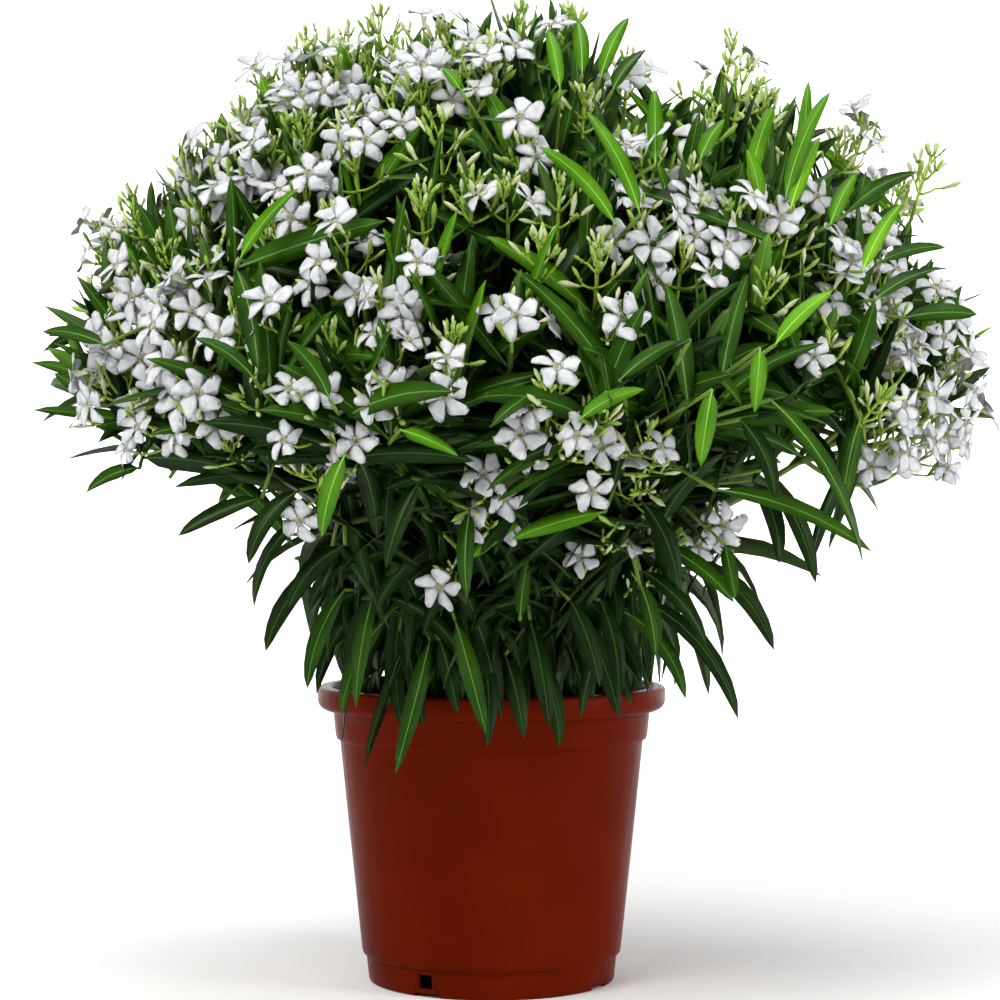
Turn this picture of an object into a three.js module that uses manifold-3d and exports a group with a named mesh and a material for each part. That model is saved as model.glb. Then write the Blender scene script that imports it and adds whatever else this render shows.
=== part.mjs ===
// A potted oleander: a moulded nursery pot full of potting soil, the woody stems that rise from it,
// the boughs they fork into, and the leafy, flowering masses at the boughs' ends.
// Millimetres, +Z up, -Y to the front. The origin is the centre of the pot's underside.
import * as THREE from "three";
import { mergeVertices } from "three/addons/utils/BufferGeometryUtils.js";
import Module from "manifold-3d";

const wasm = await Module();
wasm.setup();

// ---------------------------------------------------------------- driving dimensions

const CLEAR = 0.3; // gap between solids that meet
const DEGREE = Math.PI / 180;
const UP = new THREE.Vector3(0, 0, 1);

const POT = {
  height: 235,
  rimRadius: 140, // outside of the turned-down lip
  rimDrop: 19, // height of the lip
  collarTop: [126.8, 213], // radius and height
  collarFoot: [125, 196.5],
  bodyTop: [121.4, 191.5],
  bodyFoot: [103.7, 24.5],
  bandTop: [100.6, 20.7],
  baseRadius: 98.2,
  wall: 2.5,
  floor: 6, // top of the floor
  facets: 30,
};
const DRAIN = {
  slots: 2,
  notches: 4,
  bearing: 239.4, // of the first slot and the first notch, degrees
  width: 11.5,
  low: 6.4,
  high: 17.7,
  notchWidth: 22,
  notchHeight: 2.6,
};
const SOIL = { top: 202, shoulder: 70, edge: 196, gap: 0.5 };

const STEM = {
  ringRadius: 34, // where the stems stand in the soil
  forkRadius: 60, // how far out they fork
  forkHeight: 300,
  flare: 12,
  footRadius: 8.6,
  tipRadius: 7.4,
  sides: 8,
  steps: 4,
};
const BOUGH = { footRadius: 3.4, tipRadius: 2.9, slot: 4.12, sides: 6, steps: 3 };
const LEADER = { footRadius: 3.2, tipRadius: 2.6, sides: 3, steps: 2 };
const SIDE_SHOOT = { footRadius: 2.4, tipRadius: 2.2, sides: 3, steps: 2 };
const SIDE_SHOOTS = { stagger: 7, rootRadius: 1.5 };
const LEAF = { length: 124, width: 31, fold: 1.8, stagger: 5 };
const PETIOLE = { width: 1.7, thickness: 1.3 };
const FLOWER = { radius: 24, throat: 3, tube: 14, stalk: 40, stalkRadius: 1, tubeRadius: 1.6 };

// Each stem's bearing, and the bearing, reach and height of the heart of each mass it carries.
// blooms is how many of the mass's shoots end in flowers.
const STEMS = [
  {
    name: "left",
    bearing: 190,
    crown: { bearing: 176, reach: 136, height: 622, blooms: 3 },
    shoulder: { bearing: 170, reach: 234, height: 556, blooms: 3 },
    flank: { bearing: 194, reach: 252, height: 446, blooms: 4 },
    skirt: { bearing: 186, reach: 126, height: 344, blooms: 0 },
  },
  {
    name: "front_left",
    bearing: 240,
    crown: { bearing: 226, reach: 122, height: 622, blooms: 3 },
    shoulder: { bearing: 219, reach: 218, height: 532, blooms: 3 },
    flank: { bearing: 243, reach: 236, height: 428, blooms: 4 },
    skirt: { bearing: 236, reach: 126, height: 340, blooms: 0 },
  },
  {
    name: "front",
    bearing: 284,
    crown: { bearing: 345, reach: 46, height: 664, blooms: 3 },
    shoulder: { bearing: 268, reach: 204, height: 520, blooms: 2 },
    flank: { bearing: 292, reach: 236, height: 412, blooms: 4 },
    skirt: { bearing: 288, reach: 126, height: 338, blooms: 0 },
  },
  {
    name: "right",
    bearing: 338,
    crown: { bearing: 292, reach: 128, height: 598, blooms: 2 },
    shoulder: { bearing: 318, reach: 222, height: 545, blooms: 3 },
    flank: { bearing: 347, reach: 284, height: 444, blooms: 4 },
    skirt: { bearing: 340, reach: 126, height: 344, blooms: 0 },
  },
  {
    name: "back_right",
    bearing: 31,
    crown: { bearing: 0, reach: 160, height: 630, blooms: 2 },
    shoulder: { bearing: 8, reach: 272, height: 566, blooms: 3 },
    flank: { bearing: 36, reach: 246, height: 436, blooms: 3 },
    skirt: { bearing: 30, reach: 126, height: 342, blooms: 0 },
  },
  {
    name: "back",
    bearing: 84,
    crown: { bearing: 62, reach: 132, height: 618, blooms: 2 },
    shoulder: { bearing: 60, reach: 224, height: 545, blooms: 3 },
    flank: { bearing: 88, reach: 240, height: 428, blooms: 3 },
    skirt: { bearing: 84, reach: 126, height: 344, blooms: 0 },
  },
  {
    name: "back_left",
    bearing: 136,
    crown: { bearing: 118, reach: 132, height: 628, blooms: 3 },
    shoulder: { bearing: 116, reach: 226, height: 545, blooms: 3 },
    flank: { bearing: 142, reach: 244, height: 434, blooms: 3 },
    skirt: { bearing: 136, reach: 126, height: 342, blooms: 0 },
  },
];

// How a mass of each tier grows. foot is how far along the way from fork to heart the bough ends,
// sides how many side shoots it has and leaves how many leaves at most, lead and spread how far the
// leader and the side shoots pass the heart, lift how much their tips rise and droop how far a
// leaf's tip hangs, both as a share of length, and pitch how far the last leaves lean from a shoot.
const TIERS = {
  crown: { foot: 0.66, sides: 3, leaves: 14, lead: 54, spread: 66, lift: 0.18, droop: 0.04, pitch: 36 },
  shoulder: { foot: 0.64, sides: 3, leaves: 14, lead: 62, spread: 70, lift: 0.12, droop: 0.1, pitch: 42 },
  flank: { foot: 0.62, sides: 3, leaves: 17, lead: 56, spread: 68, lift: 0, droop: 0.34, pitch: 50 },
  skirt: { foot: 0, sides: 3, leaves: 11, lead: 44, spread: 60, lift: -0.14, droop: 0.6, pitch: 56 },
};

// The crown's outline: full above its waist, drawn in below it, and hanging over the rim.
const CROWN = {
  aside: 14, // from the pot's axis to the crown's, along +X
  radius: 380,
  waist: 446,
  top: 784,
  foot: 168,
  footRadius: 184,
  fullness: 1.8,
  tuck: 1.1,
  margin: 46, // from the shoots' tips to the outline
};

const COLOURS = {
  pot: 0x9c3a20,
  soil: 0x2e2119,
  bark: 0x6f6450,
  foliage: 0x3f6f2a,
};

// ---------------------------------------------------------------- solids

// Skins rings of points into one closed solid. The rings may differ in their number of points,
// and a ring of one point is an apex.
function skin(rings) {
  const starts = rings.map((_, r) => rings.slice(0, r).flat().length);
  const faces = [];
  for (let i = 1; i < rings[0].length - 1; i++) faces.push([0, i + 1, i]);
  for (let r = 0; r + 1 < rings.length; r++) {
    const counts = [rings[r].length, rings[r + 1].length];
    const [lowSteps, highSteps] = counts.map((count) => (count > 1 ? count : 0));
    const low = (i) => starts[r] + (i % counts[0]);
    const high = (j) => starts[r + 1] + (j % counts[1]);
    let [i, j] = [0, 0];
    while (i < lowSteps || j < highSteps) {
      const lowNext = j === highSteps || (i < lowSteps && (i + 1) / lowSteps <= (j + 1) / highSteps);
      if (lowNext) faces.push([low(i), low(++i), high(j)]);
      else faces.push([low(i), high(j + 1), high(j++)]);
    }
  }
  const last = starts.at(-1);
  for (let i = 1; i < rings.at(-1).length - 1; i++) faces.push([last, last + i, last + i + 1]);
  return manifold(rings.flat().flatMap((point) => point.toArray()), faces.flat());
}

function manifold(coordinates, indices) {
  const build = (triVerts) =>
    new wasm.Manifold(
      new wasm.Mesh({
        numProp: 3,
        vertProperties: new Float32Array(coordinates),
        triVerts: new Uint32Array(triVerts),
      }),
    );
  const solid = build(indices);
  return solid.volume() > 0 ? solid : build([...indices].reverse());
}

function solidOf(geometry) {
  const bare = geometry.clone();
  bare.deleteAttribute("normal");
  bare.deleteAttribute("uv");
  const merged = mergeVertices(bare, 1e-3);
  const triangles = [];
  for (let i = 0; i < merged.index.count; i += 3) {
    const [a, b, c] = merged.index.array.subarray(i, i + 3);
    if (a !== b && b !== c && a !== c) triangles.push(a, b, c);
  }
  return manifold(merged.attributes.position.array, triangles);
}

function geometryOf(solid) {
  const { numProp, numVert, vertProperties, triVerts } = solid.getMesh();
  const position = new Float32Array(numVert * 3);
  for (let i = 0; i < numVert; i++)
    position.set(vertProperties.subarray(i * numProp, i * numProp + 3), i * 3);
  const geometry = new THREE.BufferGeometry();
  geometry.setAttribute("position", new THREE.BufferAttribute(position, 3));
  geometry.setIndex(new THREE.BufferAttribute(new Uint32Array(triVerts), 1));
  geometry.computeVertexNormals();
  return geometry;
}

// Joins solids into one body, without loose scraps or sealed pockets where its parts cross.
function joined(solids) {
  const bodies = solidOf(geometryOf(wasm.Manifold.union(solids))).decompose();
  return bodies.sort((a, b) => b.volume() - a.volume())[0];
}

// ---------------------------------------------------------------- directions and chance

// A repeatable number from 0 to 1 for a list of whole numbers.
function chance(...keys) {
  let hash = 2166136261;
  for (const key of keys) hash = Math.imul(hash ^ (key + 1), 16777619);
  hash = Math.imul(hash ^ (hash >>> 15), 0x2c1b3c6d);
  hash = Math.imul(hash ^ (hash >>> 12), 0x297a2d39);
  return ((hash ^ (hash >>> 15)) >>> 0) / 2 ** 32;
}

const within = (share, low, high) => low + share * (high - low);

function polar(bearing, radius, height) {
  const angle = bearing * DEGREE;
  return new THREE.Vector3(radius * Math.cos(angle), radius * Math.sin(angle), height);
}

// Two unit vectors square to an axis and to each other.
function across(axis) {
  const reference = Math.abs(axis.z) > 0.98 ? new THREE.Vector3(1, 0, 0) : UP;
  const side = axis.clone().cross(reference).normalize();
  return [side, side.clone().cross(axis)];
}

// The direction that leans from an axis by one angle, turned about it by the other.
function lean(axis, angle, turn) {
  const [side, over] = across(axis);
  return axis
    .clone()
    .multiplyScalar(Math.cos(angle * DEGREE))
    .addScaledVector(side, Math.sin(angle * DEGREE) * Math.cos(turn * DEGREE))
    .addScaledVector(over, Math.sin(angle * DEGREE) * Math.sin(turn * DEGREE));
}

function ring(centre, axis, radius, sides, turn = 0) {
  const [side, over] = across(axis);
  return Array.from({ length: sides }, (_, i) => {
    const angle = (i / sides) * 2 * Math.PI + turn;
    return centre
      .clone()
      .addScaledVector(side, radius * Math.cos(angle))
      .addScaledVector(over, radius * Math.sin(angle));
  });
}

// The straight lengths that a limb is made of: a centre, an axis and a side for each of its rings.
// endAxes fix the planes of its two end cuts, and turn is how far its first ring is turned.
function framesAlong(curve, steps, endAxes = [], turn = 0) {
  const frames = [];
  for (let i = 0; i <= steps; i++) {
    const t = i / steps;
    const axis = (i === 0 && endAxes[0]) || (i === steps && endAxes[1]) || curve.getTangent(t);
    const [first, second] = across(axis);
    const last = frames.at(-1)?.side ?? lean(axis, 90, turn);
    const angle = Math.atan2(last.dot(second), last.dot(first)) / DEGREE;
    frames.push({ centre: curve.getPoint(t), axis, side: lean(axis, 90, angle) });
  }
  return frames;
}

// A tapering limb with a many-sided section.
function limb(frames, { footRadius, tipRadius, sides }, rootRadius = footRadius) {
  const rings = frames.map(({ centre, axis, side }, i) => {
    const t = i / (frames.length - 1);
    const radius = i ? within(t, footRadius, tipRadius) : rootRadius;
    const over = side.clone().cross(axis);
    return Array.from({ length: sides }, (_, k) => {
      const angle = (k / sides) * 2 * Math.PI;
      return centre
        .clone()
        .addScaledVector(side, radius * Math.cos(angle))
        .addScaledVector(over, radius * Math.sin(angle));
    });
  });
  return skin(rings);
}

// A place along a limb, at a share of its length.
function placeOn(frames, share) {
  const steps = frames.length - 1;
  const i = Math.min(Math.floor(share * steps), steps - 1);
  const point = frames[i].centre.clone().lerp(frames[i + 1].centre, share * steps - i);
  const axis = frames[i + 1].centre.clone().sub(frames[i].centre).normalize();
  const [first, second] = across(axis);
  const turn = Math.atan2(frames[i].side.dot(second), frames[i].side.dot(first)) / DEGREE;
  return { point, axis, turn };
}

// ---------------------------------------------------------------- pot and soil

function potProfile() {
  const { wall, floor, height, rimRadius } = POT;
  const lipFoot = height - POT.rimDrop;
  const outer = [
    [0, 0],
    [POT.baseRadius - 2, 0],
    [POT.baseRadius, 2],
    POT.bandTop,
    POT.bodyFoot,
    POT.bodyTop,
    POT.collarFoot,
    POT.collarTop,
    [POT.collarTop[0] + 1, height - 4],
    [rimRadius - 3, height - 4],
    [rimRadius - wall, lipFoot + 7],
    [rimRadius - 6, lipFoot],
    [rimRadius - 2, lipFoot + 3],
    [rimRadius, lipFoot + 8],
    [rimRadius, height - 3.4],
    [rimRadius - 4, height],
    [rimRadius - 10, height],
  ];
  const inner = [POT.collarTop, POT.collarFoot, POT.bodyTop, POT.bodyFoot];
  return [
    ...outer,
    ...inner.map(([radius, z]) => [radius - wall, z]),
    [POT.baseRadius - wall, floor],
    [0, floor],
  ];
}

function lathe(profile) {
  const points = profile.map(([radius, z]) => new THREE.Vector2(radius, z));
  return solidOf(new THREE.LatheGeometry(points, POT.facets).rotateX(Math.PI / 2));
}

function drainCut(bearing, width, low, high) {
  const depth = 24;
  const box = new THREE.BoxGeometry(depth, width, high - low);
  box.translate(POT.baseRadius, 0, (low + high) / 2);
  return solidOf(box.rotateZ(bearing * DEGREE));
}

function makePot() {
  let pot = lathe(potProfile());
  for (let i = 0; i < DRAIN.slots; i++) {
    const bearing = DRAIN.bearing + (i * 360) / DRAIN.slots;
    pot = pot.subtract(drainCut(bearing, DRAIN.width, DRAIN.low, DRAIN.high));
  }
  for (let i = 0; i < DRAIN.notches; i++) {
    const bearing = DRAIN.bearing + (i * 360) / DRAIN.notches;
    pot = pot.subtract(drainCut(bearing, DRAIN.notchWidth, -1, DRAIN.notchHeight));
  }
  return pot;
}

function makeSoil() {
  const inset = POT.wall + SOIL.gap;
  const edgeRadius = THREE.MathUtils.mapLinear(
    SOIL.edge,
    POT.bodyTop[1],
    POT.collarFoot[1],
    POT.bodyTop[0],
    POT.collarFoot[0],
  );
  return lathe([
    [0, POT.floor + SOIL.gap],
    [POT.baseRadius - inset, POT.floor + SOIL.gap],
    [POT.bodyFoot[0] - inset - 1, POT.bodyFoot[1]],
    [POT.bodyTop[0] - inset, POT.bodyTop[1]],
    [edgeRadius - inset, SOIL.edge],
    [SOIL.shoulder, SOIL.top],
    [0, SOIL.top],
  ]);
}

// ---------------------------------------------------------------- stems and boughs

function stemCurve(stem) {
  const foot = polar(stem.bearing, STEM.ringRadius, SOIL.top + CLEAR);
  const fork = polar(stem.bearing, STEM.forkRadius, STEM.forkHeight);
  const knee = polar(stem.bearing, STEM.ringRadius + 6, (SOIL.top + STEM.forkHeight) / 2);
  return new THREE.QuadraticBezierCurve3(foot, knee, fork);
}

function makeStem(stem) {
  return limb(framesAlong(stemCurve(stem), STEM.steps, [UP]), STEM, STEM.flare);
}

// The three boughs of a stem leave its tip from slots a third of a turn apart,
// each slot on the side that its bough grows towards.
function boughSlots(stem, masses) {
  const axis = stemCurve(stem).getTangent(1);
  const [side, over] = across(axis);
  const fork = stemCurve(stem).getPoint(1);
  const turns = masses.map((mass) => {
    const way = mass.heart.clone().sub(fork);
    return { mass, turn: Math.atan2(way.dot(over), way.dot(side)) / DEGREE };
  });
  turns.sort((a, b) => a.turn - b.turn);
  const third = 360 / turns.length;
  const offset = turns.reduce((sum, { turn }, i) => sum + turn - i * third, 0) / turns.length;
  turns.forEach(({ mass }, i) => {
    mass.slot = lean(axis, 90, offset + i * third).multiplyScalar(BOUGH.slot);
  });
}

function boughCurve(stem, mass) {
  const curve = stemCurve(stem);
  const axis = curve.getTangent(1);
  const start = curve.getPoint(1).add(mass.slot).addScaledVector(axis, CLEAR);
  const reach = mass.foot.distanceTo(start);
  return new THREE.CubicBezierCurve3(
    start,
    start.clone().addScaledVector(axis, reach * 0.36),
    mass.foot.clone().addScaledVector(mass.axis, -reach * 0.36),
    mass.foot,
  );
}

function makeBough(stem, mass) {
  const endAxes = [stemCurve(stem).getTangent(1), mass.axis];
  return limb(framesAlong(boughCurve(stem, mass), BOUGH.steps, endAxes), BOUGH);
}

// ---------------------------------------------------------------- masses

function planMasses() {
  const masses = [];
  STEMS.forEach((stem, s) => {
    Object.keys(TIERS).forEach((tier, k) => {
      const { bearing, reach, height, blooms } = stem[tier];
      const grow = TIERS[tier];
      const fork = stemCurve(stem).getPoint(1);
      const heart = polar(bearing, reach, height).add(new THREE.Vector3(CROWN.aside, 0, 0));
      const mass = { name: `${tier}_${stem.name}`, stem, tier, grow, heart, blooms, key: 10 * s + k };
      mass.fork = fork;
      if (tier === "skirt") {
        const t = 0.74;
        const [stemPoint, stemAxis] = [stemCurve(stem).getPoint(t), stemCurve(stem).getTangent(t)];
        const out = heart.clone().sub(stemPoint);
        out.addScaledVector(stemAxis, -out.dot(stemAxis)).normalize();
        mass.foot = stemPoint.clone().addScaledVector(out, STEM.footRadius + CLEAR);
        mass.axis = out;
      } else {
        mass.foot = fork.clone().lerp(heart, grow.foot);
        mass.axis = heart.clone().sub(fork).normalize();
      }
      masses.push(mass);
    });
  });
  return masses;
}

// The mass's own stem runs on as its leader, and side shoots leave it by its three faces.
function makeShoots(mass, masses) {
  const { grow, key } = mass;
  const start = mass.foot.clone().addScaledVector(mass.axis, CLEAR);
  const forward = mass.heart.clone().sub(start).normalize();
  const shoot = (from, tip, shape, turn, rootAxis, rootRadius) => {
    const length = from.distanceTo(tip);
    const bend = from.clone().lerp(tip, 0.5);
    bend.addScaledVector(forward, length * 0.14).addScaledVector(UP, -length * grow.lift);
    const curve = new THREE.QuadraticBezierCurve3(from, bend, tip);
    const frames = framesAlong(curve, shape.steps, [rootAxis], turn);
    return { frames, solid: limb(frames, shape, rootRadius) };
  };
  const drawnIn = (tip) => {
    for (let k = 0; k < 12; k++) {
      if (depthInSpace(tip, mass, masses) > 12 && insideCrown(tip, CROWN.margin)) break;
      tip.lerp(mass.heart, 0.08);
    }
    return tip;
  };
  const leadTip = mass.heart.clone().addScaledVector(forward, grow.lead);
  drawnIn(leadTip.addScaledVector(UP, grow.lead * grow.lift));
  const leader = shoot(start, leadTip, LEADER, 120 * chance(key, 1), mass.axis);
  const shoots = [leader];
  const length = start.distanceTo(leadTip);
  for (let i = 0; i < grow.sides; i++) {
    const knot = placeOn(leader.frames, 0.2 + (i * SIDE_SHOOTS.stagger) / length);
    const way = lean(knot.axis, within(chance(key, 2, i), 60, 78), knot.turn + 60 + 120 * i);
    const tip = mass.heart.clone().addScaledVector(way, grow.spread);
    drawnIn(tip.addScaledVector(UP, grow.spread * grow.lift));
    const turned = knot.turn + 60;
    shoots.push(shoot(knot.point, tip, SIDE_SHOOT, turned, null, SIDE_SHOOTS.rootRadius));
  }
  return shoots;
}

// A lance-shaped leaf: a narrow root, a broad middle and a pointed tip that hangs by its droop.
// Its keel runs straight from root to tip, and its blade stands on the keel like a low roof.
function leafRings(root, axis, direction, length, droop, grown = 0) {
  const face = axis.clone().addScaledVector(direction, -axis.dot(direction)).normalize();
  const breadth = direction.clone().cross(face);
  const at = (centre, lift, wide) =>
    centre.clone().addScaledVector(face, lift).addScaledVector(breadth, wide);
  const half = PETIOLE.width / 2 + grown;
  const middle = root.clone().addScaledVector(direction, length * 0.45);
  const sag = face.z > 0 ? 0.2 : 0.45 / (1 - droop * 0.25); // the blade stays on its keel's own side
  middle.addScaledVector(UP, -length * droop * sag);
  const tip = root.clone().addScaledVector(direction, length * (1 - droop * 0.25));
  tip.addScaledVector(UP, -length * droop);
  const width = (LEAF.width * length) / LEAF.length / 2 + grown;
  return [
    [
      at(root, PETIOLE.thickness * 0.4 + grown, half),
      at(root, PETIOLE.thickness * 0.4 + grown, -half),
      at(root, -PETIOLE.thickness * 0.6 - grown, 0),
    ],
    [at(middle, LEAF.fold + grown, width), at(middle, LEAF.fold + grown, -width)],
    [tip],
  ];
}

// The solid of a leaf, or of its blade alone, from the middle on.
function leafSolid([[left, right, keel], [leftEdge, rightEdge], [tip]], bladeOnly = false) {
  const points = [left, right, keel, leftEdge, rightEdge, tip];
  if (bladeOnly) points.splice(0, 3, ...[left, right, keel].map((p) => p.clone().lerp(tip, 0.2)));
  const faces = [0, 2, 1, 0, 1, 4, 0, 4, 3, 3, 4, 5, 2, 0, 3, 2, 3, 5, 2, 4, 1, 2, 5, 4];
  return manifold(points.flatMap((point) => point.toArray()), faces);
}

// Candidate leaves of a mass: whorls of three from the shoots' tips inwards, each whorl turned
// a sixth from the one before it.
function* leafPlans(mass) {
  const whorls = [0.93, 0.62, 0.4, 0.78, 0.25];
  for (const [w, share] of whorls.entries()) {
    for (const [s, { frames }] of mass.shoots.entries()) {
      const { point, axis, turn } = placeOn(frames, share);
      for (let arm = 0; arm < 3; arm++) {
        const root = point.clone().addScaledVector(axis, -arm * LEAF.stagger);
        const wander = within(chance(mass.key, s, w, arm), -8, 8);
        const pitch = within(share, 74, mass.grow.pitch) + wander;
        const droop = mass.grow.droop * within(share, 1.5, 0.8);
        const length = LEAF.length * within(chance(mass.key, w, s, arm), 0.82, 1.06);
        const direction = lean(axis, pitch, turn + 60 * (w + 1) + 120 * arm);
        yield { root, axis, direction, length, droop };
      }
    }
  }
}

// A five-lobed flower that opens from its tube, on a stalk of its own.
function flowerSolid(from, centre, face, grown = 0) {
  const back = centre.clone().addScaledVector(face, -FLOWER.tube);
  const way = back.clone().sub(from).normalize();
  return skin([
    ring(from, way, FLOWER.stalkRadius + grown, 3),
    ring(back, way, FLOWER.tubeRadius + grown, 3),
    ring(centre, face, FLOWER.radius + grown, 5),
    [centre.clone().addScaledVector(face, -FLOWER.throat + grown)],
  ]);
}

function flowerPlans(mass) {
  const outward = new THREE.Vector3(mass.heart.x, mass.heart.y, 0).normalize();
  return mass.shoots.slice(0, mass.blooms).flatMap(({ frames }, s) => {
    const { point, axis } = placeOn(frames, 0.97);
    const heads = s === 0 ? 2 : 1;
    return Array.from({ length: heads }, (_, i) => {
      const turn = 360 * chance(mass.key, 5, s) + (360 / heads) * i;
      const way = lean(axis, heads > 1 ? 34 : 12, turn);
      const face = way.clone().addScaledVector(outward, 0.6).addScaledVector(UP, 0.4).normalize();
      return { from: point, way, face };
    });
  });
}

// ---------------------------------------------------------------- keeping clear

function boxesMeet(a, b) {
  return [0, 1, 2].every((i) => a.min[i] <= b.max[i] && b.min[i] <= a.max[i]);
}

function meets(solid, others) {
  const box = solid.boundingBox();
  return others.some(
    (other) => boxesMeet(box, other.box) && solid.intersect(other.solid).volume() > 0,
  );
}

const boxed = (solid) => ({ solid, box: solid.boundingBox() });

// Whether a point lies within the crown's outline, drawn in by a margin.
function insideCrown({ x, y, z }, margin = 0) {
  const above = z > CROWN.waist;
  const power = above ? CROWN.fullness : CROWN.tuck;
  const height = above ? CROWN.top - CROWN.waist : CROWN.waist - CROWN.foot;
  const share = Math.abs(z - CROWN.waist) / (height - margin);
  if (share > 1) return false;
  const radius = CROWN.radius * (1 - share ** power) ** (1 / power);
  return Math.hypot(x - CROWN.aside, y) < (above ? radius : Math.max(radius, CROWN.footRadius)) - margin;
}

// How far a point lies inside its mass's space, which ends halfway to each other heart.
function depthInSpace(point, mass, masses) {
  return Math.min(
    ...masses
      .filter((other) => other !== mass)
      .map((other) => {
        const way = other.heart.clone().sub(mass.heart);
        const halfway = mass.heart.clone().addScaledVector(way, 0.5);
        return halfway.sub(point).dot(way.normalize());
      }),
  );
}

// Only side shoots that keep clear of other limbs stay.
function raiseShoots(mass, masses, limbs) {
  const earlier = masses.flatMap(({ boxes }) => boxes ?? []);
  const obstacles = [...limbs, ...earlier];
  const shoots = makeShoots(mass, masses);
  mass.shoots = shoots.filter(({ solid }) => !meets(solid, obstacles));
  if (mass.shoots[0] !== shoots[0]) throw new Error(`${mass.name}: its stem meets another limb`);
  mass.boxes = mass.shoots.map(({ solid }) => boxed(solid));
}

function growMass(mass, masses, limbs) {
  const inSpace = (points) =>
    points.every((point) => insideCrown(point) && depthInSpace(point, mass, masses) > CLEAR);
  const grown = [];
  for (const { from, face, way } of flowerPlans(mass)) {
    for (const size of [1, 0.8, 0.6]) {
      const centre = from.clone().addScaledVector(way, FLOWER.stalk * size);
      if (!inSpace([from, ...ring(centre, face, FLOWER.radius, 5)])) continue;
      if (meets(flowerSolid(from, centre, face, CLEAR), limbs)) continue;
      const flower = flowerSolid(from, centre, face);
      if (meets(flower, grown)) continue;
      grown.push(boxed(flower));
      break;
    }
  }
  const flowers = grown.length;
  for (const { root, axis, direction, length, droop } of leafPlans(mass)) {
    if (grown.length === flowers + mass.grow.leaves) break;
    for (const size of [1, 0.85, 0.7]) {
      const rings = leafRings(root, axis, direction, length * size, droop);
      if (!inSpace(rings.flat())) continue;
      const leaf = leafSolid(rings);
      const swollen = leafSolid(leafRings(root, axis, direction, length * size, droop, CLEAR));
      const blade = leafSolid(rings, true);
      if (meets(swollen, limbs) || meets(leaf, grown) || meets(blade, mass.boxes)) continue;
      grown.push(boxed(leaf));
      break;
    }
  }
  return joined([...mass.boxes, ...grown].map(({ solid }) => solid));
}

// ---------------------------------------------------------------- the object

const plant = new THREE.Group();

function add(name, solid, colour, roughness = 0.6) {
  const material = new THREE.MeshStandardMaterial({ color: colour, roughness, metalness: 0 });
  const mesh = new THREE.Mesh(geometryOf(solid), material);
  mesh.name = name;
  plant.add(mesh);
}

add("pot", makePot(), COLOURS.pot, 0.45);
add("potting_soil", makeSoil(), COLOURS.soil, 0.95);

const masses = planMasses();
const limbs = [];
for (const stem of STEMS) {
  const carried = masses.filter((mass) => mass.stem === stem && mass.tier !== "skirt");
  boughSlots(stem, carried);
  const solid = makeStem(stem);
  limbs.push(boxed(solid));
  add(`stem_${stem.name}`, solid, COLOURS.bark, 0.85);
  for (const mass of carried) {
    const bough = makeBough(stem, mass);
    limbs.push(boxed(bough));
    add(`bough_${mass.name}`, bough, COLOURS.bark, 0.8);
  }
}
limbs.push(boxed(makePot()));
for (const mass of masses) raiseShoots(mass, masses, limbs);
for (const mass of masses) {
  const others = masses.filter((other) => other !== mass).flatMap((other) => other.boxes);
  add(`foliage_${mass.name}`, growMass(mass, masses, [...limbs, ...others]), COLOURS.foliage, 0.5);
}

export default plant;
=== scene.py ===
"""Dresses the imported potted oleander: bark, leaves, blossom, soil and a moulded pot, in a pale studio.

The plant grows by the same rule as its solids, worked out here in millimetres, and is then carried
on to finer shoots, leaves, flowers and buds. Meshes are made in metres.
"""

import math
from types import SimpleNamespace as Values

import bpy
import numpy as np
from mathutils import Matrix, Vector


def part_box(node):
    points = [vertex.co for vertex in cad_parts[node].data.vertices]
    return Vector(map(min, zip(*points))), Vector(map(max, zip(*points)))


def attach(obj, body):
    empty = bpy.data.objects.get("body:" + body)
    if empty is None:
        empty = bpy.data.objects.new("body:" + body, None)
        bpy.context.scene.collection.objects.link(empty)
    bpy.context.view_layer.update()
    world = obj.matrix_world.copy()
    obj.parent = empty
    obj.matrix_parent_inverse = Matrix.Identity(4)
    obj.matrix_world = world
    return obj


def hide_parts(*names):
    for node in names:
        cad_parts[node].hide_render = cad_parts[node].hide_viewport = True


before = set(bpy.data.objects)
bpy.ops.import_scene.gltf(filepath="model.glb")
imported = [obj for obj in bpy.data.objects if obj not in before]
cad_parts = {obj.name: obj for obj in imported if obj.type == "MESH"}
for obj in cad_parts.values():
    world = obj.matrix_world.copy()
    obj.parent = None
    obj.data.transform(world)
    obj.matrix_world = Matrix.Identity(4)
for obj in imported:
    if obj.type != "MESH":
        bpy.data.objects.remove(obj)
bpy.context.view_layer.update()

MM = 0.001
UP = np.array([0.0, 0.0, 1.0])
random = np.random.default_rng(11)
uniform, normal, norm = random.uniform, random.normal, np.linalg.norm

# ---- sizes of the plant's solids

CLEAR = 0.3  # between one solid and the next
SOIL_TOP = 202
STEM = Values(ring_radius=34, fork_radius=60, fork_height=300, flare=12, foot_radius=8.6, tip_radius=7.4)
BOUGH = Values(foot_radius=3.4, tip_radius=2.9, slot=4.12)
SHOOT = Values(foot_radius=2.6, tip_radius=1.5)
SIDES = 3  # side shoots of a mass
SIDE_STAGGER = 7
FINER = 6  # finer shoots of a mass

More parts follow.
